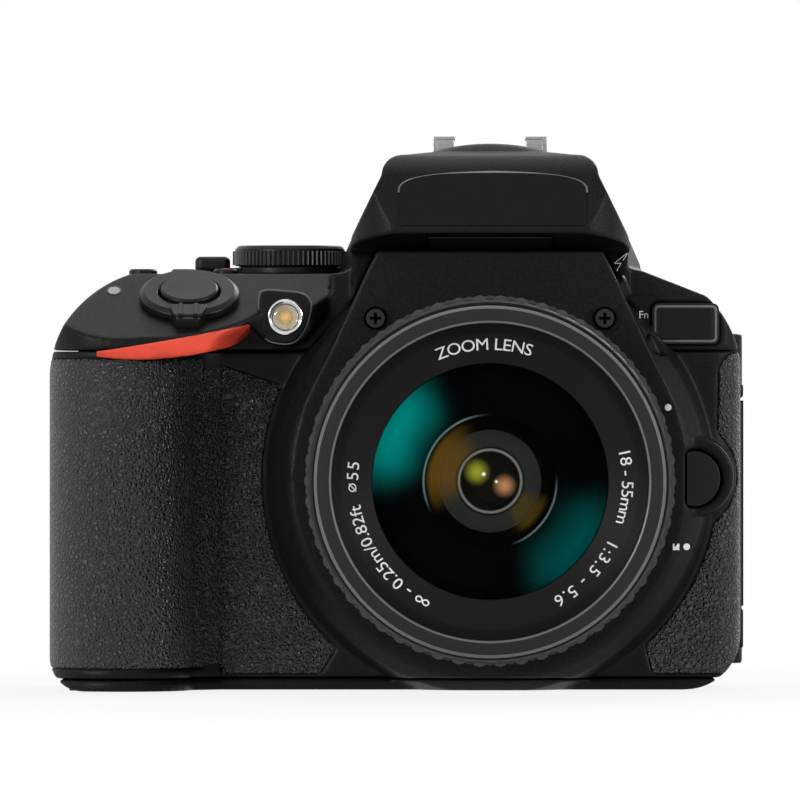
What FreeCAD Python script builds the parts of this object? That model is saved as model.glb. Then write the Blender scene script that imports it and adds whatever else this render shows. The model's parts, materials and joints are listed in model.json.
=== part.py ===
"""A single-lens reflex camera with a swing-out monitor, built as separate pieces in millimetres.

The frame: +X to the camera's own left (the cable side), -Y out of the lens, +Z up. The origin is the
mouth of the tripod socket, under the optical axis.
"""

import FreeCAD, Part
import Sketcher
import math
import os

doc = FreeCAD.newDocument("Camera")
Vector = FreeCAD.Vector

# ---------------------------------------------------------------- driving sizes

SIZES = {
    # the body, seen from the front: distances from the optical axis, and heights
    "axis_height": 37.6,
    "deck_rise": 36.4,
    "grip_side": 78.2,
    "cable_side": 44.6,
    "flange_proud": 1.2,
    "base_corner": 6.0,
    "cable_corner": 10.0,
    "grip_shoulder_drop": 18.2,
    "grip_shoulder_run": 14.2,
    "cable_shoulder_drop": 21.8,
    "cable_shoulder_run": 6.1,
    "cable_shoulder_rise": 17.8,
    # the body, seen from above: distances in front of and behind the socket
    "front_face": 13.0,
    "rear_face": 31.0,
    "grip_depth": 15.0,
    "grip_inner": 53.5,
    "well_width": 5.5,
    "plan_corner": 5.0,
    "front_corner": 5.5,
    "brow_setback": 0.8,
    "lamp_proud": 4.6,
    "wall": 2.0,
    "fit_gap": 0.03,
    "seam": 0.15,
    "base_seam": 2.0,
    "skirt_height": 13.8,
    "side_seam": 12.0,
    "grip_slope_start": 5.0,
    "grip_slope_angle": 27.0,
    # the pod around the lens mount and the neck above it
    "flange_proud_front": 9.0,
    "pod_setback": 1.0,
    "pod_rise": 3.2,
    "pod_flare": 3.6,
    "neck_low_rise": 12.9,
    "neck_low_half": 33.0,
    "neck_rise": 4.0,
    "neck_high_half": 20.0,
    # the hump with the viewfinder and the flash
    "hump_foot_half": 27.0,
    "hump_shoulder_half": 19.2,
    "hump_shoulder_drop": 3.7,
    "hump_top_half": 15.3,
    "hump_rise": 21.0,
    "hump_crown": 1.0,
    "nose_reach": 15.6,
    "nose_rise": 7.0,
    "nose_lean": 3.6,
    "eyepiece_depth": 3.5,
    "eyepiece_half": 16.5,
    "eyepiece_drop": 7.5,
    "eyecup_depth": 6.9,
    "eyecup_wall": 1.6,
    "flash_seam_rise": 6.0,
    "flash_axis_back": 1.0,
    "flash_barrel_radius": 5.4,
    "flash_barrel_gap": 0.3,
    "flash_wall": 3.0,
    "flash_gap": 0.5,
    "flash_swing_radius": 6.7,
    "flash_shaft_radius": 1.0,
    # rubber skins
    "skin": 1.0,
    "patch_margin": 1.0,
    "patch_low": 2.9,
    "accent_depth": 2.4,
    # lens and mount
    "mount_outer_radius": 28.5,
    "mount_ring_wall": 5.0,
    "mount_ring_thickness": 2.2,
    "bayonet_thickness": 1.5,
    "bayonet_wall": 2.0,
    "barrel_length": 16.0,
    "zoom_ring_length": 32.0,
    "focus_ring_gap": 1.4,
    "focus_ring_length": 8.2,
    "rim_length": 4.9,
    "barrel_radius": 30.6,
    "inner_barrel_radius": 27.6,
    "tube_wall": 1.3,
    "barrel_wall": 1.65,
    "sliding_gap": 0.06,
    "running_gap": 0.08,
    "turning_gap": 0.35,
    "zoom_ring_radius": 32.25,
    "scale_band": 7.5,
    "ring_lip": 1.6,
    "rib_height": 0.85,
    "rib_width": 1.9,
    "focus_ring_radius": 30.3,
    "rim_wall": 1.0,
    "filter_radius": 27.5,
    "filter_depth": 3.2,
    "front_glass_radius": 20.4,
    "name_ring_depth": 3.4,
    # monitor
    "monitor_thickness": 6.2,
    "monitor_gap": 0.35,
    "monitor_far_edge": 37.5,
    "monitor_low": 3.6,
    "monitor_drop": 10.6,
    "bezel_side": 1.25,
    "bezel_end": 4.65,
    "screen_glass": 0.9,
    "strip_inset_low": 10.6,
    "strip_inset_high": 12.1,
    "strip_gap": 0.4,
    "hinge_shaft_radius": 1.2,
    # rear control block
    "control_depth": 5.4,
    "control_gap": 1.5,
    # interfaces
    "tripod_thread_radius": 2.55,
    "tripod_depth": 7.5,
    "socket_radius": 6.5,
    "shoe_length": 18.6,
    "shoe_half": 10.2,
    "shoe_slot": 9.3,
    "shoe_lip": 6.3,
    "foot_thickness": 2.05,
    # buttons and their clearances
    "button_gap": 0.2,
    "button_stem": 1.0,
    "collar": 0.7,
    "collar_thickness": 0.8,
    "travel": 0.8,
    "button_proud": 0.9,
    # top controls
    "shutter_inset": 24.8,
    "shutter_setback": 13.8,
    "shutter_radius": 5.2,
    "switch_radius": 8.9,
    "switch_height": 2.0,
    "mode_gap": 9.0,
    "mode_back": 12.0,
    "mode_radius": 10.3,
    "mode_lift": 1.5,
    "mode_height": 3.7,
    "spindle_radius": 3.0,
    "lever_radius": 10.0,
    "command_radius": 8.6,
    "command_inset": 16.2,
    "command_setback": 4.6,
    "command_drop": 3.3,
    "command_thickness": 4.2,
    # front controls
    "release_setback": 6.0,
    "release_travel": 2.0,
    "lock_pin_radius": 1.2,
    "lamp_radius": 3.2,
    # rear controls
    "selector_radius": 9.4,
    "ok_radius": 3.5,
    "diopter_radius": 4.2,
    # strap eyelets
    "eyelet_height": 5.8,
    "eyelet_length": 8.8,
    "eyelet_depth": 3.0,
    "eyelet_bar_radius": 0.9,
    # inside
    "box_half": 14.2,
    "box_wall": 1.8,
    "mirror_hinge_radius": 0.8,
    "mirror_length": 27.0,
    "battery_width": 14.0,
    "battery_length": 38.0,
    "battery_height": 52.6,
}

sheet = doc.addObject("Spreadsheet::Sheet", "Sizes")
for row, (name, number) in enumerate(SIZES.items(), start=1):
    sheet.set(f"A{row}", name)
    sheet.set(f"B{row}", str(number))
    sheet.setAlias(f"B{row}", name)
doc.recompute()


class Size:
    """A number that also carries the spreadsheet expression it comes from."""

    def __init__(self, value, text):
        self.value = value
        self.text = text

    def __add__(self, other):
        return joined_size(self, "+", other)

    def __radd__(self, other):
        return joined_size(other, "+", self)

    def __sub__(self, other):
        return joined_size(self, "-", other)

    def __rsub__(self, other):
        return joined_size(other, "-", self)

    def __mul__(self, other):
        return joined_size(self, "*", other)

    def __rmul__(self, other):
        return joined_size(other, "*", self)

    def __truediv__(self, other):
        return joined_size(self, "/", other)

    def __neg__(self):
        return joined_size(0.0, "-", self)


OPERATIONS = {
    "+": lambda first, second: first + second,
    "-": lambda first, second: first - second,
    "*": lambda first, second: first * second,
    "/": lambda first, second: first / second,
}


def as_size(number):
    """A plain number as a Size."""
    if isinstance(number, Size):
        return number
    return Size(float(number), f"{float(number):.6f}")


def joined_size(first, sign, second):
    """Two sizes joined by an arithmetic sign."""
    first = as_size(first)
    second = as_size(second)
    return Size(OPERATIONS[sign](first.value, second.value), f"({first.text} {sign} {second.text})")


class Sizes:
    """Reads the spreadsheet's cells by name."""

    def __getattr__(self, name):
        return Size(float(sheet.get(name)), f"Sizes.{name}")


size = Sizes()

# heights and places that follow from the driving sizes
deck = size.axis_height + size.deck_rise
top_seam = deck - size.skirt_height
grip_shoulder = deck - size.grip_shoulder_drop
cable_shoulder = deck - size.cable_shoulder_drop
neck_low = size.axis_height + size.neck_low_rise
neck_high = deck + size.neck_rise
hump_top = deck + size.hump_rise
hump_shoulder = hump_top - size.hump_shoulder_drop
nose_bottom = deck + size.nose_rise
flash_seam = deck + size.flash_seam_rise
eyepiece_low = deck - size.eyepiece_drop
flange_side = size.cable_side + size.flange_proud
grip_front = size.front_face + size.grip_depth
brow_front_reach = grip_front - size.brow_setback
lamp_front = size.front_face + size.lamp_proud
flange_front = size.front_face + size.flange_proud_front
pod_front = flange_front - size.pod_setback
nose_front = size.front_face + size.nose_reach
nose_top_front = nose_front - size.nose_lean
eyepiece_back = size.rear_face + size.eyepiece_depth
eyecup_back = eyepiece_back + size.eyecup_depth
control_back = size.rear_face + size.control_depth
control_inner = size.monitor_far_edge + size.control_gap
monitor_high = deck - size.monitor_drop
strip_low = size.monitor_low + size.strip_inset_low
strip_high = monitor_high - size.strip_inset_high
zoom_ring_back = flange_front + size.barrel_length
zoom_ring_front = zoom_ring_back + size.zoom_ring_length
focus_ring_back = zoom_ring_front + size.focus_ring_gap
focus_ring_front = focus_ring_back + size.focus_ring_length
lens_front = focus_ring_front + size.rim_length
rim_radius = size.filter_radius + size.rim_wall
pod_base_radius = size.deck_rise + size.pod_rise
pod_face_radius = pod_base_radius - size.pod_flare
patch_radius = pod_base_radius + size.patch_margin
throat_radius = size.mount_outer_radius - size.mount_ring_wall
tail_radius = throat_radius - 1.5
light_radius = tail_radius - size.bayonet_wall
shutter_across = size.grip_side - size.shutter_inset
shutter_front = grip_front - size.shutter_setback
mode_across = size.hump_foot_half + size.mode_gap
mode_bottom = deck + size.mode_lift
command_across = size.grip_side - size.command_inset
command_back = size.rear_face - size.command_setback
command_high = deck - size.command_drop
view_low = eyepiece_low + 4.0
view_high = hump_top - 10.5

QUARTER_BEND = 1 - math.sqrt(0.5)


def number(value):
    """The value of a Size or a plain number."""
    return as_size(value).value


def vector(x, y, z):
    """A vector of three sizes."""
    return Vector(number(x), number(y), number(z))


# ---------------------------------------------------------------- building blocks

NODES = {}


def bind(item, **properties):
    """Ties an object's properties to spreadsheet expressions."""
    for name, value in properties.items():
        item.setExpression(name, as_size(value).text)


def place(item, at, turn=None):
    """Puts an object at a bound position, turned by a rotation."""
    item.Placement = FreeCAD.Placement(vector(*at), turn or FreeCAD.Rotation())
    for axis, value in zip("xyz", at):
        item.setExpression(f"Placement.Base.{axis}", as_size(value).text)
    return item


def block(name, low, high):
    """A box from its lowest to its highest corner."""
    item = doc.addObject("Part::Box", name)
    bind(item, Length=high[0] - as_size(low[0]), Width=high[1] - as_size(low[1]),
         Height=high[2] - as_size(low[2]))
    return place(item, low)


TURNS = {
    "+Z": FreeCAD.Rotation(),
    "-Z": FreeCAD.Rotation(Vector(1, 0, 0), 180),
    "+X": FreeCAD.Rotation(Vector(0, 1, 0), 90),
    "-X": FreeCAD.Rotation(Vector(0, 1, 0), -90),
    "+Y": FreeCAD.Rotation(Vector(1, 0, 0), -90),
    "-Y": FreeCAD.Rotation(Vector(1, 0, 0), 90),
}


def rod(name, radius, length, at, along="+Z", turn=None):
    """A cylinder that starts at a point and runs along a direction."""
    item = doc.addObject("Part::Cylinder", name)
    bind(item, Radius=radius, Height=length)
    return place(item, at, turn or TURNS[along])


def fused(name, items):
    """Several objects as one solid."""
    item = doc.addObject("Part::MultiFuse", name)
    item.Shapes = items
    item.Refine = True
    return item


def shared(name, items):
    """What several objects have in common."""
    item = doc.addObject("Part::MultiCommon", name)
    item.Shapes = items
    item.Refine = True
    return item


def cut(name, base, tools):
    """An object less one or more tools."""
    item = doc.addObject("Part::Cut", name)
    item.Base = base
    item.Tool = tools[0] if len(tools) == 1 else fused(f"{name}_tools", tools)
    item.Refine = True
    return item


def node(item, name):
    """Marks an object as a finished sub-part."""
    item.Label = name
    NODES[name] = item
    return item


def sketch_in(body, plane, name):
    """An empty sketch on one of a body's own origin planes."""
    sketch = body.newObject("Sketcher::SketchObject", name)
    for feature in body.Origin.OriginFeatures:
        if feature.Role == plane:
            sketch.AttachmentSupport = [(feature, "")]
    sketch.MapMode = "FlatFace"
    return sketch


def polygon(sketch, points):
    """Draws a closed polygon whose corners are bound to the spreadsheet."""
    corners = [Vector(number(across), number(up), 0) for across, up in points]
    for first, second in zip(corners, corners[1:] + corners[:1]):
        sketch.addGeometry(Part.LineSegment(first, second), False)
    for index in range(len(corners)):
        following = (index + 1) % len(corners)
        sketch.addConstraint(Sketcher.Constraint("Coincident", index, 2, following, 1))
    for index, (across, up) in enumerate(points):
        for kind, value in (("DistanceX", across), ("DistanceY", up)):
            row = sketch.addConstraint(Sketcher.Constraint(kind, -1, 1, index, 1, number(value)))
            sketch.setExpression(f"Constraints[{row}]", as_size(value).text)


def turned(name, points, at, along="-Y"):
    """A turned piece: its profile gives radius and distance along the axis from a point."""
    body = doc.addObject("PartDesign::Body", name)
    sketch = sketch_in(body, "XZ_Plane", f"{name}_profile")
    polygon(sketch, points)
    turn = body.newObject("PartDesign::Revolution", f"{name}_turn")
    turn.Profile = sketch
    turn.ReferenceAxis = (sketch, ["V_Axis"])
    turn.Angle = 360.0
    body.Tip = turn
    turning = along if isinstance(along, FreeCAD.Rotation) else TURNS[along]
    return place(body, at, turning)


def padded(name, plane, points, length, at, turn=None, reverse=False):
    """A piece of one thickness, padded from a polygon in one of the origin planes."""
    body = doc.addObject("PartDesign::Body", name)
    sketch = sketch_in(body, plane, f"{name}_outline")
    polygon(sketch, points)
    pad = body.newObject("PartDesign::Pad", f"{name}_pad")
    pad.Profile = sketch
    pad.Reversed = reverse
    bind(pad, Length=length)
    body.Tip = pad
    return place(body, at, turn)


def wire(start, steps, lift):
    """A closed wire: each step is a point for a line, or (middle, end) for an arc."""
    edges = []
    here = lift(*start)
    first = here
    for step in steps:
        if isinstance(step[0], tuple):
            middle = lift(*step[0])
            there = lift(*step[1])
            edges.append(Part.Arc(here, middle, there).toShape())
        else:
            there = lift(*step)
            edges.append(Part.LineSegment(here, there).toShape())
        here = there
    if here.distanceToPoint(first) > 1e-6:
        edges.append(Part.LineSegment(here, first).toShape())
    return Part.Wire(edges)


def front_lift(across, up):
    """A point of the front view."""
    return vector(across, 0, up)


def plan_lift(across, back):
    """A point of the top view."""
    return vector(across, back, 0)


def side_lift(back, up):
    """A point of the side view."""
    return vector(0, back, up)


def form(name, shape):
    """A free-form solid kept as an object of the document."""
    item = doc.addObject("Part::Feature", name)
    item.Shape = shape
    return item


def extruded(outline, low, high, inset=0.0):
    """A flat outline, optionally inset, extruded from one offset to another along its normal."""
    face = Part.Face(outline)
    if number(inset):
        face = Part.Face(face.makeOffset2D(-number(inset)).Wires[0])
    normal = face.normalAt(0, 0)
    axis = Vector(abs(normal.x), abs(normal.y), abs(normal.z))
    face.translate(axis * number(low))
    return face.extrude(axis * (number(high) - number(low)))


# ---------------------------------------------------------------- outer form of the body

def front_outline():
    """The body without its hump, seen from the front."""
    left = -size.grip_side
    right = size.cable_side
    corner = size.base_corner
    bend = QUARTER_BEND
    foot = size.cable_corner
    shoulder_end = (right - size.cable_shoulder_run, cable_shoulder + size.cable_shoulder_rise)
    shoulder_bend = (right - 0.2 * size.cable_shoulder_run,
                     cable_shoulder + 0.6 * size.cable_shoulder_rise)
    grip_rise = deck - grip_shoulder
    grip_bend = (left + 0.28 * size.grip_shoulder_run, grip_shoulder + 0.6 * grip_rise)
    return wire(
        (left + corner, 0),
        [
            (right - foot, 0),
            ((right - bend * foot, bend * foot), (right, foot)),
            (right, cable_shoulder),
            (shoulder_bend, shoulder_end),
            (size.hump_foot_half, deck + 0.5),
            (size.hump_foot_half - 8, deck + 2),
            (8 - size.hump_foot_half, deck + 2),
            (-size.hump_foot_half, deck),
            (left + size.grip_shoulder_run, deck),
            (grip_bend, (left, grip_shoulder)),
            (left, corner),
            ((left + bend * corner, bend * corner), (left + corner, 0)),
        ],
        front_lift,
    )


def body_plan():
    """The body and its grip, seen from above."""
    left = -size.grip_side
    right = size.cable_side
    back = size.rear_face
    front = -size.front_face
    tip = -grip_front
    corner = size.plan_corner
    nose = size.front_corner
    bend = QUARTER_BEND
    inner = -size.grip_inner
    return wire(
        (left + corner, back),
        [
            (right - corner, back),
            ((right - bend * corner, back - bend * corner), (right, back - corner)),
            (right, front + nose),
            ((right - bend * nose, front + bend * nose), (right - nose, front)),
            (inner + size.well_width, front),
            (inner + 0.6, front - 3.6),
            ((inner - 3.2, tip + 3.2), (inner - 11.5, tip)),
            ((left + 3.2, tip + 4.6), (left, tip + 14.5)),
            (left, back - corner),
            ((left + bend * corner, back - bend * corner), (left + corner, back)),
        ],
        plan_lift,
    )


def brow_plan():
    """The top cover's brow from the grip to the lamp, seen from above."""
    left = -size.grip_side
    tip = -brow_front_reach
    lamp = -lamp_front
    return wire(
        (left, 8),
        [
            (left, tip + 13.7),
            ((left + 3.2, tip + 4.3), (left + 13.5, tip)),
            ((left + 26.5, tip + 1.2), (left + 34.5, tip + 5.6)),
            (left + 38.5, lamp),
            (left + 46.0, lamp),
            (left + 49.5, -size.front_face),
            (left + 49.5, 8),
        ],
        plan_lift,
    )


def brow_front():
    """The brow, seen from the front: its lower edge rises from the grip to the lamp."""
    left = -size.grip_side
    low = top_seam
    high = deck
    lift = size.skirt_height / 3
    return wire(
        (left, low),
        [
            (left + 19.0, low),
            ((left + 27.5, low + lift / 3), (left + 35.6, low + lift)),
            (left + 36.9, low + 0.74 * lift),
            ((left + 41.6, low + 0.2 * lift), (left + 46.4, low + 0.74 * lift)),
            (left + 49.5, low + 1.5 * lift),
            (left + 49.5, high),
            (left, high),
        ],
        front_lift,
    )


def above_slope(lift):
    """The space above the sloping front of the deck, raised by some distance along its normal."""
    angle = math.radians(size.grip_slope_angle.value)
    start = -size.grip_slope_start.value
    high = deck.value
    run = 2 * grip_front.value
    rise = number(lift) / math.cos(angle)
    outline = wire(
        (start, high + rise),
        [
            (start - run, high + rise - run * math.tan(angle)),
            (start - run, high + run),
            (start, high + run),
        ],
        side_lift,
    )
    return extruded(outline, -size.grip_side - 10, -size.hump_foot_half - 1.5)


def hump_front():
    """The hump, seen from the front."""
    foot = size.hump_foot_half
    shoulder = size.hump_shoulder_half
    top = size.hump_top_half
    low = deck - 6
    bend = (shoulder - 0.9, hump_shoulder + 0.66 * (hump_top - hump_shoulder))
    return wire(
        (-foot, low),
        [
            (foot, low),
            (foot, deck + 1.5),
            (shoulder, hump_shoulder),
            (bend, (top, hump_top)),
            ((0, hump_top + size.hump_crown), (-top, hump_top)),
            ((-bend[0], bend[1]), (-shoulder, hump_shoulder)),
            (-foot, deck + 1.5),
        ],
        front_lift,
    )


def hump_side():
    """The hump, seen from the side."""
    low = deck - 6
    top = hump_top
    return wire(
        (-size.front_face, low),
        [
            (-size.front_face - 2, neck_high - 0.8),
            (-nose_front, nose_bottom),
            (-nose_top_front, hump_shoulder),
            ((3.1 - nose_top_front, top - 0.9), (8 - nose_top_front, top)),
            ((-2, top + 1.4), (10, top + 0.6)),
            (size.rear_face - 9.0, top + 0.2),
            ((size.rear_face - 3.5, top - 1.6), (size.rear_face - 1.5, top - 5.5)),
            (size.rear_face, hump_top - 9),
            (size.rear_face, low),
        ],
        side_lift,
    )


def hump_plan():
    """The hump, seen from above: narrower at its nose and towards the eyepiece."""
    foot = size.hump_foot_half
    nose = -nose_front
    return wire(
        (-foot, 6),
        [
            (-foot + 2.6, nose + 15),
            ((-foot + 4.6, nose + 4.5), (-foot + 9.5, nose + 0.6)),
            ((0, nose - 0.4), (foot - 9.5, nose + 0.6)),
            ((foot - 4.6, nose + 4.5), (foot - 2.6, nose + 15)),
            (foot, 6),
            (foot - 6.5, size.rear_face),
            (6.5 - foot, size.rear_face),
        ],
        plan_lift,
    )


def neck_outline():
    """The raised panel between the pod and the flash, seen from the front."""
    low = neck_low
    wide = size.neck_low_half
    narrow = size.neck_high_half
    return wire(
        (-narrow, neck_high),
        [
            (-wide, low),
            (-pod_face_radius + 0.5, size.axis_height),
            (pod_face_radius - 0.5, size.axis_height),
            (wide, low),
            (narrow, neck_high),
        ],
        front_lift,
    )


def release_housing():
    """The raised horseshoe round the lens release button, seen from the front."""
    high = size.axis_height + 7.3
    low = size.axis_height - 6.6
    edge = size.cable_side
    return wire(
        (edge - 11.6, low),
        [
            (edge - 7.4, low),
            ((edge - 1.4, size.axis_height + 0.3), (edge - 7.4, high)),
            (edge - 11.6, high),
        ],
        front_lift,
    )


def control_plan():
    """The raised block of the rear controls and the thumb rest, seen from above."""
    left = -size.grip_side
    back = control_back
    inner = -control_inner
    return wire(
        (left, size.side_seam + 6),
        [
            (left, back - 9),
            ((left + 2.6, back - 2.6), (left + 9, back)),
            (inner - 1.5, back),
            ((inner - 0.4, back - 0.5), (inner, back - 1.5)),
            (inner, size.side_seam + 6),
        ],
        plan_lift,
    )


def control_side():
    """The rear control block, seen from the side."""
    back = control_back
    return wire(
        (size.side_seam + 6, 1),
        [
            (size.rear_face, 1),
            ((back - 1.4, 2.6), (back, 7)),
            (back, deck - 19),
            ((back - 1.4, deck - 14.5), (size.rear_face, deck - 12)),
            (size.side_seam + 6, deck - 12),
        ],
        side_lift,
    )


def eyepiece_outline(grow):
    """The eyepiece housing, seen from behind."""
    half = size.eyepiece_half + grow
    low = eyepiece_low - grow
    high = hump_top - 7.5 + grow
    return wire(
        (-half + 3, low),
        [
            (half - 3, low),
            ((half - 0.9, low + 0.9), (half, low + 3)),
            (half, high - 5),
            ((half - 1.5, high - 1.5), (half - 5, high)),
            (5 - half, high),
            ((1.5 - half, high - 1.5), (-half, high - 5)),
            (-half, low + 3),
            ((0.9 - half, low + 0.9), (-half + 3, low)),
        ],
        front_lift,
    )


def hump_room():
    """The room for the viewfinder prism under the hump's roof, seen from the front."""
    high = hump_shoulder - 8.3
    wide = size.hump_shoulder_half - 0.2
    narrow = size.hump_top_half - 2.8
    return wire(
        (-wide, deck - 4),
        [
            (wide, deck - 4),
            (wide, deck + 2),
            (narrow, high),
            (-narrow, high),
            (-wide, deck + 2),
        ],
        front_lift,
    )


FAR = 120
silhouette = form("silhouette", extruded(front_outline(), -FAR, FAR))
plan = form("plan", extruded(body_plan(), -5, FAR))
slope = form("slope", above_slope(0))
core = cut("core", shared("core_block", [silhouette, plan]), [slope])
brow = cut("brow", shared("brow_block", [
    form("brow_plan", extruded(brow_plan(), top_seam - 10, FAR)),
    form("brow_front", extruded(brow_front(), -FAR, 20)),
    silhouette,
]), [slope])
pod = shared("pod", [
    turned("pod_turn", [
        (0, 8),
        (pod_base_radius, size.front_face - 1),
        (pod_base_radius, size.front_face + 0.4),
        (pod_face_radius + 2.2, pod_front - 3.4),
        (pod_face_radius, pod_front - 0.8),
        (pod_face_radius - 1, pod_front),
        (0, pod_front),
    ], (0, 0, size.axis_height)),
    silhouette,
])
neck = form("neck", extruded(neck_outline(), -pod_front, 0))
housing = form("release_housing", extruded(release_housing(), -pod_front + 1.4, -5))
hump = shared("hump", [
    form("hump_front", extruded(hump_front(), -FAR, FAR)),
    form("hump_side", extruded(hump_side(), -FAR, FAR)),
    form("hump_plan", extruded(hump_plan(), top_seam, FAR)),
])
flange_low = 6.4
flange = block("rear_flange", (size.cable_side - 8, size.rear_face - 7, flange_low),
               (flange_side, size.rear_face, cable_shoulder + 2))
strip_notch = block("strip_notch",
                    (size.cable_side - 1.2, size.rear_face - 8, strip_low - size.strip_gap),
                    (flange_side + 1, size.rear_face + 1, strip_high + size.strip_gap))
control = shared("control", [
    silhouette,
    form("control_plan", extruded(control_plan(), 0, FAR)),
    form("control_side", extruded(control_side(), -FAR, 0)),
])
eyepiece = form("eyepiece", extruded(eyepiece_outline(0), size.hump_foot_half - 10, eyepiece_back))
outer = cut("outer", fused("outer_forms", [core, brow, pod, neck, housing, hump, flange, control, eyepiece]),
            [strip_notch])


# ---------------------------------------------------------------- hollow of the body

core_hollow = cut("core_hollow", shared("core_hollow_block", [
    form("front_inset", extruded(front_outline(), -FAR, FAR, size.wall)),
    form("plan_inset", extruded(body_plan(), size.base_seam, FAR, size.wall)),
]), [form("slope_inset", above_slope(-size.wall))])
control_hollow = block("control_hollow", (-size.grip_side + 5.5, size.rear_face - 4, 8),
                       (-control_inner - size.wall, control_back - size.wall, deck - 22))
throat = rod("throat", throat_radius, pod_front + 5, (0, 5, size.axis_height), "-Y")
throat_step = rod("throat_step", size.mount_outer_radius + 0.05, size.mount_ring_thickness + 2,
                  (0, size.mount_ring_thickness - flange_front, size.axis_height), "-Y")
view_half = size.eyepiece_half - 5.0
eyepiece_tunnel = block("eyepiece_tunnel", (-view_half, size.rear_face - 14, view_low),
                        (view_half, eyepiece_back - size.wall, view_high))
eyepiece_window = block("eyepiece_window", (1 - view_half, eyepiece_back - size.wall - 1, view_low + 1),
                        (view_half - 1, eyepiece_back + 1, view_high - 1))
hump_hollow = form("hump_hollow", extruded(hump_room(), -9, size.rear_face - 14))
hollow = fused("hollow", [core_hollow, control_hollow, throat, throat_step, eyepiece_tunnel,
                          eyepiece_window, hump_hollow])
shell = cut("shell", outer, [hollow])


# ---------------------------------------------------------------- openings, gathered per cover

OPENINGS = {"top_cover": [], "front_cover": [], "rear_cover": [], "base_cover": [], "flash_head": []}


def button(name, radius, at, along, proud, cover, skin=None):
    """A round push button with a collar behind its cover, and the stepped hole it moves in."""
    depth = size.wall if skin is None else skin
    behind = depth + size.button_gap
    end = behind + size.collar_thickness
    wide = radius + size.collar
    item = turned(name, [
        (0, -end - size.button_stem),
        (size.button_stem, -end - size.button_stem),
        (size.button_stem, -end),
        (wide, -end),
        (wide, -behind),
        (radius, -behind),
        (radius, proud - 0.3),
        (radius - 0.35, proud),
        (0, proud),
    ], at, along)
    room = end + size.button_stem + size.travel + size.button_gap
    hole = turned(f"{name}_hole", [
        (0, -room),
        (wide + size.button_gap, -room),
        (wide + size.button_gap, -depth),
        (radius + size.button_gap, -depth),
        (radius + size.button_gap, proud + 2),
        (0, proud + 2),
    ], at, along)
    OPENINGS[cover].append(hole)
    return node(item, name)


# ---------------------------------------------------------------- flash

flash_axis_up = hump_top + size.hump_crown - size.flash_barrel_radius
nose_step = nose_front - 10.0


def under_nose(back):
    """The height of the nose's underside at some distance behind the socket."""
    start = -size.front_face - 2
    rise = (nose_bottom - neck_high + 0.8) / (nose_front + start)
    return neck_high - 0.8 + (start - back) * rise


def roof_outline(grow):
    """The fixed roof inside the flash head, seen from the front."""
    low = flash_seam - 3
    high = hump_shoulder - 2.8 + grow
    wide = size.hump_foot_half - 6.6 + grow
    narrow = size.hump_shoulder_half - 4.2 + grow
    return wire(
        (-wide, low),
        [
            (wide, low),
            (wide, flash_seam + 0.5),
            (narrow, high),
            (-narrow, high),
            (-wide, flash_seam + 0.5),
        ],
        front_lift,
    )


head_half = size.hump_foot_half + 5
barrel_half = size.hump_foot_half - 5
barrel = rod("flash_barrel", size.flash_barrel_radius, 2 * barrel_half,
             (-barrel_half, size.flash_axis_back, flash_axis_up), "+X")
barrel_room = rod("flash_barrel_room", size.flash_barrel_radius + size.flash_barrel_gap, 2 * head_half,
                  (-head_half, size.flash_axis_back, flash_axis_up), "+X")
swing_room = shared("swing_room", [
    rod("swing_disc", size.flash_swing_radius, 2 * barrel_half,
        (-barrel_half, size.flash_axis_back, flash_axis_up), "+X"),
    block("swing_reach", (-head_half, size.flash_axis_back, flash_axis_up + 3.5),
          (head_half, size.rear_face, hump_top + 5)),
])
head_upper = block("flash_upper", (-head_half, -nose_front - 5, flash_seam + size.seam),
                   (head_half, size.flash_axis_back, hump_top + 5))
head_nose = block("flash_nose", (-head_half, -nose_front - 5, neck_high + size.fit_gap),
                  (head_half, -nose_step, hump_top + 5))
roof_room = cut("roof_room", form("roof_grown", extruded(
    roof_outline(size.flash_gap), -nose_step + 1.6, size.flash_axis_back + size.flash_barrel_radius)),
    [rod("barrel_kept", size.flash_barrel_radius, 2 * head_half,
         (-head_half, size.flash_axis_back, flash_axis_up), "+X")])
LUG_START = 8.0
LUG_WIDTH = 2.0
LUG_GAP = 0.4
lug_slots = shared("lug_slots", [
    fused("lug_slot_pair", [
        rod(f"lug_slot_{side}", size.flash_barrel_radius + 1, LUG_WIDTH + 2 * LUG_GAP,
            (start - LUG_GAP, size.flash_axis_back, flash_axis_up), "+X")
        for side, start in (("left", LUG_START), ("right", -LUG_START - LUG_WIDTH))
    ]),
    block("lug_slot_reach", (-20, -10, deck), (20, 20, flash_axis_up + 1.9)),
])
shaft_half = LUG_START + LUG_WIDTH + 2.0
shaft_bore = rod("flash_shaft_bore", size.flash_shaft_radius + size.running_gap, 2 * shaft_half + 2,
                 (-shaft_half - 1, size.flash_axis_back, flash_axis_up), "+X")
window_half = 11.0
window_front = -nose_front + 3.0
window_back = -nose_front + 8.8
nose_room = form("nose_room", extruded(wire(
    (-nose_front + 4.6, under_nose(-nose_front + 6.6) + size.flash_wall - 0.6),
    [
        (-nose_front + 8.6, under_nose(-nose_front + 8.6) + size.flash_wall),
        (-nose_front + 8.6, hump_shoulder - 1),
        (-nose_front + 5.1, hump_shoulder - 2),
    ],
    side_lift,
), -window_half - 2, window_half + 2))


def window_slice(name, inset, below, thickness):
    """A plate across the nose's underside, for the flash window and its seat."""
    front = window_front + inset
    back = window_back - inset
    outline = wire(
        (front, under_nose(front) - below),
        [
            (back, under_nose(back) - below),
            (back, under_nose(back) + thickness),
            (front, under_nose(front) + thickness),
        ],
        side_lift,
    )
    return form(name, extruded(outline, inset - window_half, window_half - inset))


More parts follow.
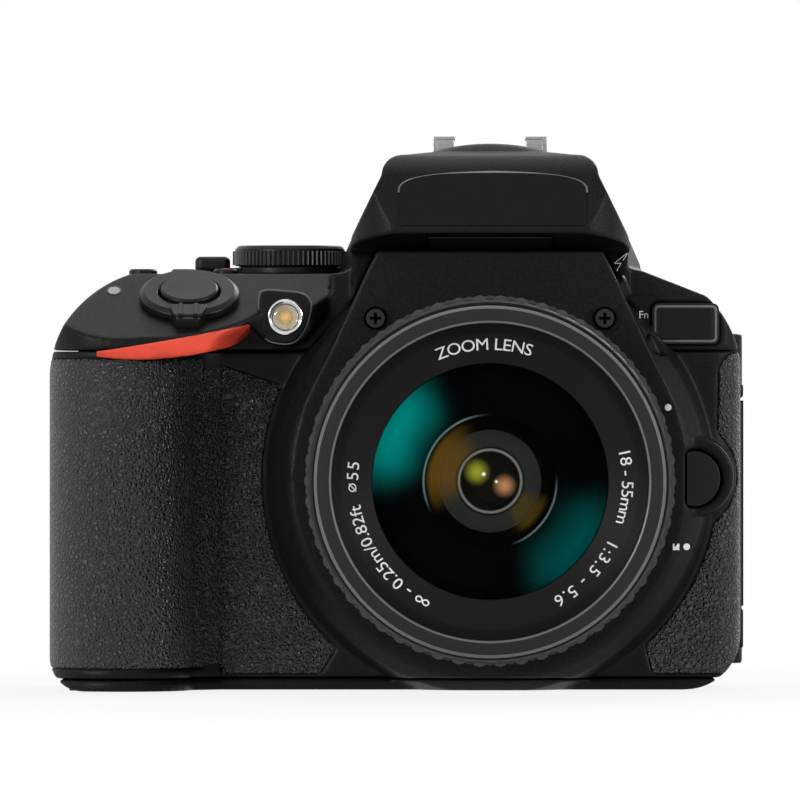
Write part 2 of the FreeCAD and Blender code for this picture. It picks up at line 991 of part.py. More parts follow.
window_seat = window_slice("window_seat", 0, 1, 1.6)
flash_form = shared("flash_form", [hump, fused("flash_zone", [head_upper, head_nose, barrel])])
flash_head = node(cut("flash_head", flash_form,
                      [roof_room, lug_slots, shaft_bore, nose_room, window_seat]), "flash_head")
node(window_slice("flash_window", 0.1, 0, 1.5), "flash_window")

roof = form("roof", extruded(roof_outline(0), -nose_step + 2.1, size.flash_axis_back + 2))
lugs = [
    fused(f"flash_lug_{side}", [
        block(f"flash_lug_plate_{side}", (start, size.flash_axis_back - 1.6, hump_shoulder - 8.0),
              (start + LUG_WIDTH, size.flash_axis_back + 1.6, flash_axis_up)),
        rod(f"flash_lug_eye_{side}", 1.6, LUG_WIDTH, (start, size.flash_axis_back, flash_axis_up), "+X"),
    ])
    for side, start in (("left", LUG_START), ("right", -LUG_START - LUG_WIDTH))
]
shaft = rod("flash_shaft", size.flash_shaft_radius, 2 * shaft_half,
            (-shaft_half, size.flash_axis_back, flash_axis_up), "+X")


# ---------------------------------------------------------------- controls on top

slope_turn = FreeCAD.Rotation(Vector(1, 0, 0), size.grip_slope_angle.value)
slope_fall = math.tan(math.radians(size.grip_slope_angle.value))
shutter_at = (-shutter_across, -shutter_front,
              deck - (shutter_front - size.grip_slope_start) * slope_fall)
switch_bore = size.shutter_radius + size.button_gap
switch_sleeve = switch_bore + 1.2
button("shutter_button", size.shutter_radius, shutter_at, slope_turn, size.switch_height + 0.5,
       "top_cover")
switch_ring = turned("switch_ring", [
    (switch_bore, -1.3),
    (switch_sleeve, -1.3),
    (switch_sleeve, size.seam),
    (size.switch_radius, size.seam),
    (size.switch_radius, size.switch_height - 0.7),
    (size.switch_radius - 0.9, size.switch_height),
    (switch_bore + 0.3, size.switch_height - 0.2),
    (switch_bore, size.switch_height - 0.6),
], shutter_at, slope_turn)
switch_lever = padded("switch_lever", "XY_Plane", [
    (-2.4, 0.9 - size.switch_radius),
    (-2.1, -size.switch_radius - 2.6),
    (2.1, -size.switch_radius - 2.6),
    (2.4, 0.9 - size.switch_radius),
], size.switch_height, shutter_at, slope_turn)
node(fused("power_switch", [switch_ring, switch_lever]), "power_switch")
OPENINGS["top_cover"].append(turned("switch_recess", [
    (0, -1.5),
    (switch_sleeve + size.turning_gap, -1.5),
    (switch_sleeve + size.turning_gap, 3),
    (0, 3),
], shutter_at, slope_turn))

mode_at = (-mode_across, size.mode_back, mode_bottom)
node(turned("mode_dial", [
    (0, -size.mode_lift - size.wall - 1),
    (size.spindle_radius, -size.mode_lift - size.wall - 1),
    (size.spindle_radius, 0),
    (size.mode_radius, 0),
    (size.mode_radius, size.mode_height - 0.4),
    (size.mode_radius - 0.4, size.mode_height),
    (0, size.mode_height),
], mode_at, "+Z"), "mode_dial")
lever_base = turned("lever_base", [
    (size.spindle_radius + size.running_gap, size.seam),
    (size.lever_radius, size.seam),
    (size.lever_radius, size.mode_lift - 0.3),
    (size.spindle_radius + size.running_gap, size.mode_lift - 0.3),
], (-mode_across, size.mode_back, deck), "+Z")
tab_inner = size.mode_radius + 0.4
lever_tab = block("lever_tab", (-mode_across - tab_inner - 6.3, size.mode_back - 3.0, deck + size.seam),
                  (-mode_across - tab_inner, size.mode_back + 1.2, deck + 3.2))
lever_arm = block("lever_arm", (-mode_across - tab_inner - 1.3, size.mode_back - 3.0, deck + size.seam),
                  (-mode_across - size.lever_radius + 1.5, size.mode_back + 1.2, mode_bottom - 0.3))
node(fused("live_view_lever", [lever_base, lever_tab, lever_arm]), "live_view_lever")
OPENINGS["top_cover"].append(rod("mode_bore", size.spindle_radius + size.running_gap, size.skirt_height,
                                 (-mode_across, size.mode_back, top_seam)))
mode_pocket = rod("mode_pocket", tab_inner, hump_top - deck,
                  (-mode_across, size.mode_back, deck))
OPENINGS["top_cover"].append(mode_pocket)

command_half = size.command_thickness / 2
command_at = (-command_across, command_back, command_high - command_half)
node(turned("command_dial", [
    (0, -command_half - 0.8),
    (1.5, -command_half - 0.8),
    (1.5, -command_half),
    (size.command_radius, -command_half),
    (size.command_radius, command_half),
    (1.5, command_half),
    (1.5, command_half + 0.8),
    (0, command_half + 0.8),
], command_at, "+Z"), "command_dial")
OPENINGS["top_cover"].append(rod("command_slot", size.command_radius + size.turning_gap,
                                 2 * command_half + 2 * size.turning_gap,
                                 (command_at[0], command_at[1],
                                  command_high - size.command_thickness - size.turning_gap)))

# distance from the grip's side, distance behind the socket, radius
TOP_BUTTONS = {
    "info_button": (16.1, 2.2, 2.6),
    "exposure_button": (23.4, 4.4, 2.4),
    "movie_button": (31.0, -0.8, 2.3),
}
for name, (inset, back, radius) in TOP_BUTTONS.items():
    button(name, radius, (inset - size.grip_side, back, deck), "+Z", size.button_proud, "top_cover")


# ---------------------------------------------------------------- controls at the front

neck_lean = math.degrees(math.atan2((neck_high - neck_low).value,
                                    (size.neck_low_half - size.neck_high_half).value))
side_turn = FreeCAD.Rotation(Vector(0, 1, 0), neck_lean)
neck_slant = (size.neck_low_half - size.neck_high_half) / (neck_high - neck_low)
for name, drop, radius in (("flash_button", 6.8, 2.3), ("fn_button", 17.4, 2.1)):
    across = size.neck_high_half + drop * neck_slant
    button(name, radius, (across, -pod_front + 4, neck_high - drop), side_turn, 1.5, "front_cover", 1.0)

release_front = pod_front - 0.2
release_depth = pod_front - size.release_setback
pin_across = (size.mount_outer_radius + throat_radius) / 2


def release_outline():
    """The lens release button's face: a D with its flat towards the lens."""
    middle = size.axis_height
    edge = size.cable_side
    return wire(
        (edge - 9.8, middle - 4.7),
        [
            (edge - 8.2, middle - 4.9),
            ((edge - 3.8, middle), (edge - 8.2, middle + 4.9)),
            (edge - 9.8, middle + 4.7),
        ],
        front_lift,
    )


release_cap = form("release_cap", extruded(release_outline(), -release_front, -release_depth))
release_plate = block("release_plate", (pin_across - 2, -release_depth, size.axis_height - 2),
                      (size.cable_side - 4.6, 1.5 - release_depth, size.axis_height + 2))
lock_pin = rod("lock_pin", size.lock_pin_radius, flange_front - release_depth + 2.6,
               (pin_across, 1.4 - release_depth, size.axis_height), "-Y")
node(fused("lens_release_button", [release_cap, release_plate, lock_pin]), "lens_release_button")
OPENINGS["front_cover"].append(form("release_hole", extruded(
    release_outline(), -pod_front - 5, size.release_travel + size.turning_gap - release_depth,
    -size.button_gap)))
release_room = block("release_room",
                     (pin_across - 2.4, -release_depth - size.turning_gap, size.axis_height - 2.4),
                     (size.cable_side - 3.4, 1.5 - release_depth + size.release_travel + size.turning_gap,
                      size.axis_height + 2.4))
pin_hole = rod("pin_hole", size.lock_pin_radius + size.button_gap, 20,
               (pin_across, 2 - release_depth, size.axis_height), "-Y")
OPENINGS["front_cover"] += [release_room, pin_hole]

lamp_at = (41.9 - size.grip_side, -lamp_front, top_seam + 6.0)
node(turned("af_lamp", [
    (0, -5),
    (size.lamp_radius - 0.8, -5),
    (size.lamp_radius - 0.8, -1.2),
    (size.lamp_radius, -1.2),
    (size.lamp_radius, 0.3),
    (size.lamp_radius - 0.5, 0.5),
    (1.6, 0.9),
    (0, 1.0),
], lamp_at, "-Y"), "af_lamp")
OPENINGS["top_cover"].append(turned("lamp_seat", [
    (0, -5.1),
    (size.lamp_radius - 0.7, -5.1),
    (size.lamp_radius - 0.7, -1.25),
    (size.lamp_radius + 0.05, -1.25),
    (size.lamp_radius + 0.05, 3),
    (0, 3),
], lamp_at, "-Y"))

badge_low = (size.cable_side - 15.8, -size.front_face - 1.0, top_seam + 1.2)
badge_high = (size.cable_side - 3.9, -size.front_face + 1.2, top_seam + 8.5)
node(block("badge_plate", badge_low, badge_high), "badge_plate")
badge_seat = block("badge_seat", badge_low, badge_high)
OPENINGS["top_cover"].append(badge_seat)
OPENINGS["front_cover"].append(badge_seat)


# ---------------------------------------------------------------- controls at the back

control_face = control_back
upper_row = deck - 24.6
lower_row = size.base_seam + 10.2
# distance from the block's inner edge, height, radius
REAR_BUTTONS = {
    "quick_button": (15.6, upper_row, 2.5),
    "playback_button": (7.2, upper_row, 2.7),
    "zoom_out_button": (6.4, lower_row, 2.6),
    "zoom_in_button": (14.8, lower_row, 2.6),
    "delete_button": (23.2, lower_row, 2.6),
}
for name, (inset, height, radius) in REAR_BUTTONS.items():
    button(name, radius, (-control_inner - inset, control_face, height), "+Y", size.button_proud,
           "rear_cover")
for name, across in (("menu_button", 31.0), ("ae_lock_button", -30.6)):
    button(name, 2.7, (across, size.rear_face, deck - 5.8), "+Y", size.button_proud, "top_cover")

selector_at = (-control_inner - 19.0, control_face, (upper_row + lower_row) / 2 - 0.3)
button("ok_button", size.ok_radius, selector_at, "+Y", 1.3, "rear_cover")
node(turned("multi_selector", [
    (size.ok_radius + 2 * size.button_gap + 0.8, 0.5),
    (size.ok_radius + 2 * size.button_gap + 0.8, -1.4),
    (size.selector_radius - 1.4, -1.4),
    (size.selector_radius - 1.4, 0.45),
    (size.selector_radius, 0.6),
    (size.selector_radius, 1.3),
    (size.selector_radius - 0.6, 1.8),
    (size.ok_radius + size.button_gap + 0.5, 1.2),
    (size.ok_radius + size.button_gap + 0.1, 0.9),
    (size.ok_radius + size.button_gap + 0.1, 0.5),
], selector_at, "+Y"), "multi_selector")
OPENINGS["rear_cover"].append(cut("selector_groove", rod(
    "selector_groove_disc", size.selector_radius - 1.1, 3, (selector_at[0], control_face - 1.75,
                                                       selector_at[2]), "+Y"),
    [rod("selector_core", size.ok_radius + 2 * size.button_gap + 0.55, 4,
         (selector_at[0], control_face - 2, selector_at[2]), "+Y")]))

diopter_at = (-size.eyepiece_half - 2.9, size.rear_face - 2.6, deck + 4.5)
node(turned("diopter_wheel", [
    (0, -1.15),
    (size.diopter_radius, -1.15),
    (size.diopter_radius, 1.15),
    (0, 1.15),
], diopter_at, "+X"), "diopter_wheel")
OPENINGS["top_cover"].append(rod("diopter_slot", size.diopter_radius + 0.3, 2.9,
                                 (diopter_at[0] - 1.45, diopter_at[1], diopter_at[2]), "+X"))


# ---------------------------------------------------------------- doors

def door(name, low, high, edge, cover, across, swing):
    """A flat door with a rounded hinge edge along Z or Y, and the recess it closes.

    low, high: the door's corners; edge: the hinge edge's middle line; across: the rod's direction;
    swing: the far corner of the room outside the hinge line, into which the open door's edge turns.
    """
    radius = (high[0] - as_size(low[0])) / 2 if across == "+Z" else (high[2] - as_size(low[2])) / 2
    length = high[2] - as_size(low[2]) if across == "+Z" else high[1] - as_size(low[1])
    plate = block(f"{name}_plate", low, high)
    knuckle = rod(f"{name}_knuckle", radius, length, edge, across)
    gap = size.button_gap
    OPENINGS[cover].append(block(
        f"{name}_recess",
        [value - gap for value in low],
        [value + gap for value in high]))
    OPENINGS[cover].append(rod(f"{name}_knuckle_room", radius + gap, length + 2 * gap,
                               [edge[0], edge[1], edge[2] - gap] if across == "+Z"
                               else [edge[0], edge[1] - gap, edge[2]], across))
    lows = [min(first, second, key=number) for first, second in zip(edge, swing)]
    highs = [max(first, second, key=number) for first, second in zip(edge, swing)]
    OPENINGS[cover].append(block(f"{name}_swing_room", lows, highs))
    return node(fused(name, [plate, knuckle]), name)


card_out = -size.grip_side
card_back = size.rear_face - 5.2
card_low = size.base_seam + 10.0
card_high = top_seam - 10.2
door("card_door", (card_out, size.side_seam + 1.0, card_low), (card_out + 1.2, card_back, card_high),
     (card_out + 0.6, card_back, card_low), "rear_cover", "+Z", (card_out - 1, card_back + 1, card_high))
OPENINGS["rear_cover"].append(block("card_mouth", (card_out - 1, size.side_seam + 4, card_low + 6.0),
                                    (card_out + 4, size.side_seam + 7.2, card_high - 7.0)))
cable_out = size.cable_side + 0.3
cable_front = 8.1 - size.front_face
cable_low = size.base_seam + 12.0
cable_high = top_seam - 9.2
door("connector_cover", (cable_out - 1.6, cable_front, cable_low),
     (cable_out, size.side_seam - 1.2, cable_high), (cable_out - 0.8, cable_front, cable_low),
     "front_cover", "+Z", (cable_out + 1, cable_front - 1, cable_high))
for name, rise, radius in (("microphone", 30.0, 2.6), ("usb", 19.0, 2.2), ("accessory", 8.0, 2.8)):
    OPENINGS["front_cover"].append(rod(f"{name}_jack", radius, 3.5,
                                       (cable_out - 4.8, cable_front + 7.9, cable_low + rise), "+X"))
battery_edge = -size.grip_inner - 2.1
battery_front = 8.4 - grip_front
door("battery_door", (3.6 - size.grip_side, battery_front, 0.0),
     (battery_edge, size.side_seam + 2.0, size.base_seam),
     (battery_edge, battery_front, size.base_seam / 2), "base_cover", "+Y",
     (battery_edge + 1.3, size.side_seam + 2.0, -1.0))


# ---------------------------------------------------------------- rubber skins and the accent

def on_patch(degrees):
    """A point of the circle round the lens that the front patches follow."""
    angle = math.radians(degrees)
    return (patch_radius * math.cos(angle), size.axis_height + patch_radius * math.sin(angle))


plan_skin = form("plan_skin", extruded(body_plan(), -5, FAR, size.skin))


def core_skin(name, mask):
    """The outer layer of the body within a mask."""
    return cut(name, shared(f"{name}_zone", [core, mask]), [plan_skin])


grip_mask = block("grip_mask", (-size.grip_side - 1, -grip_front - 1, 4.0),
                  (-size.grip_inner + 2.6, 3.0, top_seam - 1.4))
grip_skin = core_skin("grip_skin", grip_mask)
well_mask = form("well_mask", extruded(wire(
    (-size.grip_inner + 5.6, size.patch_low),
    [
        (on_patch(228)[0] - 3.0, size.patch_low),
        (on_patch(228)[0] - 0.2, on_patch(228)[1]),
        (on_patch(190), on_patch(156)),
        (-size.grip_inner + 5.6, top_seam - 2.6),
    ],
    front_lift,
), -FAR, 0))
well_patch = core_skin("well_patch", well_mask)
side_mask = form("side_mask", extruded(wire(
    (size.cable_side + 2, size.patch_low),
    [
        (size.cable_side + 2, top_seam + 0.6 - 1.0),
        (size.cable_side - 1.6, top_seam - 0.4),
        ((size.cable_side - 3.3, top_seam - 2.0), (size.cable_side - 3.9, top_seam - 5)),
        (size.cable_side - 4.2, size.axis_height + 8.2),
        ((size.cable_side - 0.7, size.axis_height + 0.3), (size.cable_side - 4.2, size.axis_height - 7.4)),
        (on_patch(-11)),
        (on_patch(-28), on_patch(-47)),
        (on_patch(-47)[0] + 1.2, size.patch_low),
    ],
    front_lift,
), -FAR, cable_front - 1.4))
side_patch = core_skin("side_patch", side_mask)
doc.recompute()
thumb_inner = form("thumb_inner", control.Shape.translated(vector(size.skin, -size.skin, 0)))
thumb_rest = cut("thumb_rest", shared("thumb_zone", [
    control,
    block("thumb_mask", (-size.grip_side - 1, control_back - 8, selector_at[2] + size.selector_radius + 1.6),
          (selector_at[0] - 3.5, control_back + 1, deck - 20)),
]), [thumb_inner])


def accent_outline():
    """The red accent under the brow, seen from the front: a crescent."""
    left = -size.grip_side
    low = top_seam
    return wire(
        (left + 8.8, low),
        [
            ((left + 20.4, low - 1.6), (left + 35.6, low + size.skirt_height / 3)),
            ((left + 22.6, low + 1.0), (left + 8.8, low)),
        ],
        front_lift,
    )


accent = node(cut("red_accent", shared("accent_zone", [
    form("accent_plan", extruded(brow_plan(), top_seam - 5, deck, size.seam)),
    form("accent_front", extruded(accent_outline(), -FAR, -5)),
]), [form("accent_back", extruded(brow_plan(), top_seam - 6, deck + 1, size.accent_depth))]), "red_accent")
node(cut("grip_rubber", grip_skin, [accent]), "grip_rubber")
node(fused("body_rubber", [well_patch, side_patch, thumb_rest]), "body_rubber")


# ---------------------------------------------------------------- fixings

SCREWS = []


def screw(name, head, at, along, length):
    """A countersunk machine screw, and the hole it leaves in a cover."""
    shank = head * 0.5
    height = head * 0.55
    item = turned(name, [
        (0, -length),
        (shank, -length),
        (shank, -height),
        (head, -height + head * 0.2),
        (head, 0),
        (0, 0),
    ], at, along)
    gap = size.fit_gap
    hole = turned(f"{name}_hole", [
        (0, -length - gap),
        (shank + gap, -length - gap),
        (shank + gap, -height),
        (head + gap, -height + head * 0.2),
        (head + gap, 2),
        (0, 2),
    ], at, along)
    SCREWS.append(item)
    return hole


for side, across in (("left", -20.3), ("right", 20.3)):
    OPENINGS["front_cover"].append(screw(f"neck_screw_{side}", 1.6,
                                         (across, -pod_front - 0.05, neck_high - 12.0), "-Y", 5))
BASE_SCREWS = [(-28, -6), (28, -6), (-28, 14), (28, 14)]
foot_holes = []
for index, (across, back) in enumerate(BASE_SCREWS):
    hole = screw(f"base_screw_{index}", 1.8, (across, back, 0.35), "-Z", 7)
    OPENINGS["base_cover"].append(hole)
    foot_holes.append(hole)
ring_holes = []
screw_circle = (size.mount_outer_radius + throat_radius) / 2
for index, degrees in enumerate((45, 135, 225, 315)):
    angle = math.radians(degrees)
    hole = screw(f"mount_screw_{index}", 1.4,
                 (screw_circle * math.cos(angle), -flange_front,
                  size.axis_height + screw_circle * math.sin(angle)), "-Y", 6)
    ring_holes.append(hole)
    OPENINGS["front_cover"].append(hole)
node(fused("screws", SCREWS), "screws")

node(turned("tripod_socket", [
    (size.tripod_thread_radius, 0),
    (size.socket_radius, 0),
    (size.socket_radius, size.base_seam),
    (size.socket_radius + 1.5, size.base_seam),
    (size.socket_radius + 1.5, size.base_seam + 1.5),
    (size.socket_radius - 1.5, size.base_seam + 1.5),
    (size.socket_radius - 1.5, size.tripod_depth + 1.5),
    (0, size.tripod_depth + 1.5),
    (0, size.tripod_depth),
    (size.tripod_thread_radius, size.tripod_depth),
], (0, 0, 0), "+Z"), "tripod_socket")
OPENINGS["base_cover"].append(rod("tripod_hole", size.socket_radius + size.fit_gap, 6, (0, 0, -2)))

shoe_low = hump_top - 0.6
shoe_floor = hump_top + size.hump_crown + 0.1
lip_low = shoe_floor + size.foot_thickness
lip_high = lip_low + 0.55
shoe_back = size.flash_axis_back + 4.2 + size.shoe_length
node(padded("hot_shoe", "XZ_Plane", [
    (-size.shoe_half, shoe_low),
    (size.shoe_half, shoe_low),
    (size.shoe_half, lip_high),
    (size.shoe_lip, lip_high),
    (size.shoe_lip, lip_low),
    (size.shoe_slot, lip_low),
    (size.shoe_slot, shoe_floor),
    (-size.shoe_slot, shoe_floor),
    (-size.shoe_slot, lip_low),
    (-size.shoe_lip, lip_low),
    (-size.shoe_lip, lip_high),
    (-size.shoe_half, lip_high),
], size.shoe_length, (0, shoe_back, 0)), "hot_shoe")
OPENINGS["top_cover"].append(block(
    "shoe_seat", (-size.shoe_half, shoe_back - size.shoe_length - size.turning_gap, shoe_low),
    (size.shoe_half, shoe_back, hump_top + 6)))

eyelet_high = top_seam - 1.2
eyelet_low = eyelet_high - size.eyelet_height
eyelet_front = size.side_seam + 2.6
eyelet_back = eyelet_front + size.eyelet_length
eyelet_bosses = []
eyelet_bars = []
for side, outer_face, inward in (("grip", -size.grip_side, 1), ("cable", size.cable_side, -1)):
    inner_face = outer_face + inward * size.eyelet_depth
    boss_face = inner_face + inward * 1.2
    lowest = outer_face + inward * 0.6 if inward > 0 else boss_face
    highest = boss_face if inward > 0 else outer_face + inward * 0.6
    eyelet_bosses.append(block(f"eyelet_boss_{side}", (lowest, eyelet_front - 1.2, eyelet_low - 1.2),
                               (highest, eyelet_back + 1.2, top_seam - 0.2)))
    lowest = outer_face - 2 if inward > 0 else inner_face
    highest = inner_face if inward > 0 else outer_face + 2
    OPENINGS["rear_cover"].append(block(f"eyelet_pocket_{side}", (lowest, eyelet_front, eyelet_low),
                                        (highest, eyelet_back, eyelet_high)))
    bar_radius = size.eyelet_bar_radius
    bar_length = size.eyelet_length + 2 * bar_radius
    bar_at = (outer_face + inward * 1.1, eyelet_front - bar_radius, (eyelet_low + eyelet_high) / 2)
    eyelet_bars.append(rod(f"eyelet_bar_{side}", bar_radius, bar_length, bar_at, "+Y"))
    OPENINGS["rear_cover"].append(rod(f"eyelet_seat_{side}", bar_radius + size.fit_gap,
                                      bar_length + 2 * size.fit_gap,
                                      (bar_at[0], bar_at[1] - size.fit_gap, bar_at[2]), "+Y"))
node(fused("strap_eyelets", eyelet_bars), "strap_eyelets")


# ---------------------------------------------------------------- the covers

half_seam = size.seam / 2
low_band = size.base_seam + size.seam
lower_front = block("lower_front", (-FAR, -FAR, low_band), (FAR, size.side_seam, top_seam - half_seam))
lower_rear = block("lower_rear", (-FAR, size.side_seam + size.seam, low_band),
                   (FAR, FAR, top_seam - half_seam))
upper = block("upper", (-FAR, -FAR, top_seam + half_seam), (FAR, FAR, FAR))
below = block("below", (-FAR, -FAR, -5), (FAR, FAR, size.base_seam))
neck_zone = form("neck_zone", extruded(neck_outline(), -40, -8))
neck_gap = form("neck_gap", extruded(neck_outline(), -40, -8 + size.seam, -size.seam))
pod_zone = cut("pod_zone", rod("pod_disc", pod_base_radius + 0.1, 20,
                               (0, -size.front_face, size.axis_height), "-Y"),
               [block("under_pod", (-FAR, -FAR, -FAR), (FAR, FAR, low_band))])
pod_gap = rod("pod_gap", pod_base_radius + 0.1 + size.seam, 20,
              (0, -size.front_face + size.seam, size.axis_height), "-Y")
casing = fused("casing", [shell] + eyelet_bosses)

front_part = shared("front_part", [casing, fused("front_zone", [lower_front, neck_zone, pod_zone])])
node(cut("front_cover", front_part, OPENINGS["front_cover"] + [grip_skin, well_patch, side_patch, accent]),
     "front_cover")

flash_space = fused("flash_space", [
    block("flash_space_upper", (-head_half, -nose_front - 5, flash_seam),
          (head_half, size.flash_axis_back + size.flash_barrel_gap, hump_top + 5)),
    block("flash_space_nose", (-head_half, -nose_front - 5, neck_high),
          (head_half, -nose_step + size.seam, hump_top + 5)),
])
top_part = cut("top_part", shared("top_block", [casing, upper]), [neck_gap, pod_gap, flash_space])
top_roofed = cut("top_roofed", fused("top_with_roof", [top_part, roof]),
                 [barrel_room, swing_room, hump_hollow, neck_gap])
node(cut("top_cover", fused("top_with_lugs", [top_roofed, shaft] + lugs), OPENINGS["top_cover"] + [accent]),
     "top_cover")

rear_part = shared("rear_part", [casing, lower_rear])
node(cut("rear_cover", rear_part, OPENINGS["rear_cover"] + [thumb_rest]), "rear_cover")
base_part = shared("base_part", [casing, below])
node(cut("base_cover", base_part, OPENINGS["base_cover"]), "base_cover")


# ---------------------------------------------------------------- eyepiece and inside

eyecup_front = eyepiece_back - 2.4
eyecup_block = form("eyecup_block", extruded(eyepiece_outline(size.eyecup_wall), eyecup_front, eyecup_back))
eyecup_seat = form("eyecup_seat", extruded(eyepiece_outline(size.fit_gap), eyecup_front - 1,
                                           eyepiece_back + size.fit_gap))
eyecup_hole = block("eyecup_hole", (0.3 - view_half, eyecup_front - 1, view_low + 0.3),
                    (view_half - 0.3, eyecup_back + 1, view_high - 0.3))
node(cut("eyecup", eyecup_block, [eyecup_seat, eyecup_hole]), "eyecup")
node(block("eyepiece_lens", (0.1 - view_half, eyepiece_back - size.wall - 1.7, view_low + 0.1),
           (view_half - 0.1, eyepiece_back - size.wall - 0.1, view_high - 0.1)), "eyepiece_lens")

box_low = size.axis_height - 17
screen_low = size.axis_height + 18.4
chassis_front = size.front_face - size.wall - 0.4
box_back = size.rear_face - 12.2
hinge_back = box_back - 4.4
hinge_up = size.axis_height + 14.6
chassis_plate = block("chassis_plate", (10.6 - size.cable_side, -chassis_front, size.base_seam + 6),
                      (size.cable_side - 10.6, 1.8 - chassis_front, deck - 10))
chassis_walls = cut("chassis_walls", block("chassis_box", (-size.box_half - size.box_wall, 1 - chassis_front,
                                                           box_low - size.box_wall),
                                           (size.box_half + size.box_wall, box_back, screen_low)),
                    [block("chassis_room", (-size.box_half, -chassis_front, box_low),
                           (size.box_half, box_back + 1, screen_low + 1))])
chassis_feet = [rod(f"chassis_foot_{index}", 3, 9, (across, back, size.base_seam + 0.2))
                for index, (across, back) in enumerate(BASE_SCREWS)]
chassis_ties = [block(f"chassis_tie_{side}", (low, -7.5, 9.0), (high, 16.5, 11.2))
                for side, low, high in (("left", -30, -26), ("right", 26, 30))]
chassis_bridge = block("chassis_bridge", (-30, 1 - chassis_front, 9.0), (30, 5.5 - chassis_front, 11.2))
chassis_post = block("chassis_post", (-5, 1 - chassis_front, 10.0), (5, 5.5 - chassis_front, box_low - 1))
frame_openings = [rod("frame_throat", throat_radius + 0.3, 1.9 + 1,
                      (0, 1.9 - chassis_front, size.axis_height), "-Y"),
                  block("frame_release", (14, -chassis_front - 1, size.axis_height - 3),
                        (30, 2.5 - chassis_front, size.axis_height + 3)),
                  rod("mirror_bearing", size.mirror_hinge_radius + size.running_gap,
                      2 * (size.box_half + size.box_wall) + 2,
                      (-size.box_half - size.box_wall - 1, hinge_back, hinge_up), "+X")]
node(cut("chassis_frame", fused("chassis", [chassis_plate, chassis_walls, chassis_bridge, chassis_post]
                                + chassis_feet + chassis_ties), frame_openings + foot_holes),
     "chassis_frame")

mirror_half = size.box_half - 0.9
mirror_turn = FreeCAD.Rotation(Vector(1, 0, 0), 45)
mirror_plate = block("mirror_plate", (0, 0, 0), (2 * mirror_half, size.mirror_length, 0.9))
mirror_start = size.mirror_length * math.sqrt(0.5)
place(mirror_plate, (-mirror_half, hinge_back - mirror_start, hinge_up - mirror_start), mirror_turn)
mirror_shaft = rod("mirror_shaft", size.mirror_hinge_radius, 2 * (size.box_half + size.box_wall) - 0.6,
                   (0.3 - size.box_half - size.box_wall, hinge_back, hinge_up), "+X")
node(fused("reflex_mirror", [mirror_plate, mirror_shaft]), "reflex_mirror")

node(block("focusing_screen", (-size.box_half - 1, 2.0 - chassis_front, screen_low + 0.1),
           (size.box_half + 1, 16.5, screen_low + 1.3)), "focusing_screen")
prism_low = screen_low + 1.5
node(form("viewfinder_prism", extruded(wire(
    (-8.6, prism_low),
    [
        (size.rear_face - 15.0, prism_low),
        (size.rear_face - 14.4, deck + 0.5),
        (8.0, hump_shoulder - 9.5),
        (-4.5, hump_shoulder - 9.5),
        (-8.6, deck - 4),
    ],
    side_lift,
), -12, 12)), "viewfinder_prism")

curtain_back = box_back + 2.2
node(cut("shutter_unit", block("shutter_block", (-20, box_back + 0.3, size.axis_height - 18.1),
                               (20, box_back + 4.3, size.axis_height + 18.4)), [
    block("shutter_front", (-12.4, box_back, size.axis_height - 8.4),
          (12.4, curtain_back, size.axis_height + 8.4)),
    block("shutter_behind", (-12.4, curtain_back + 0.4, size.axis_height - 8.4),
          (12.4, box_back + 6, size.axis_height + 8.4)),
]), "shutter_unit")
board_back = size.rear_face - size.wall - 0.6
board_front = board_back - 1.4
node(block("image_sensor", (-14, board_front - 2.7, size.axis_height - 10),
           (14, board_front - 0.6, size.axis_height + 10)), "image_sensor")
node(block("main_board", (3.5 - size.grip_inner, board_front, size.base_seam + 6.5),
           (size.cable_side - 4.6, board_back, top_seam - 0.2)), "main_board")
battery_at = (4.6 - size.grip_side, 12.2 - grip_front, size.base_seam + 0.4)
node(block("battery", battery_at, (battery_at[0] + size.battery_width, battery_at[1] + size.battery_length,
                                   battery_at[2] + size.battery_height)), "battery")


# ---------------------------------------------------------------- the lens and its mount

lens_at = (0, 0, size.axis_height)
ring_back = flange_front - size.mount_ring_thickness
mount_turn = turned("mount_turn", [
    (throat_radius, ring_back),
    (size.mount_outer_radius, ring_back),
    (size.mount_outer_radius, flange_front),
    (throat_radius, flange_front),
], lens_at)
node(cut("mount_ring", mount_turn, ring_holes + [pin_hole]), "mount_ring")

lens_back = flange_front + size.fit_gap
bayonet_turn = turned("bayonet_turn", [
    (light_radius, lens_back - 5),
    (tail_radius, lens_back - 5),
    (tail_radius, lens_back),
    (size.mount_outer_radius - 0.5, lens_back),
    (size.mount_outer_radius - 0.5, lens_back + size.bayonet_thickness),
    (light_radius, lens_back + size.bayonet_thickness),
], lens_at)
node(cut("lens_bayonet", bayonet_turn, [rod("bayonet_notch", size.lock_pin_radius + size.button_gap, 8,
                                            (pin_across, -flange_front + 4, size.axis_height), "-Y")]),
     "lens_bayonet")

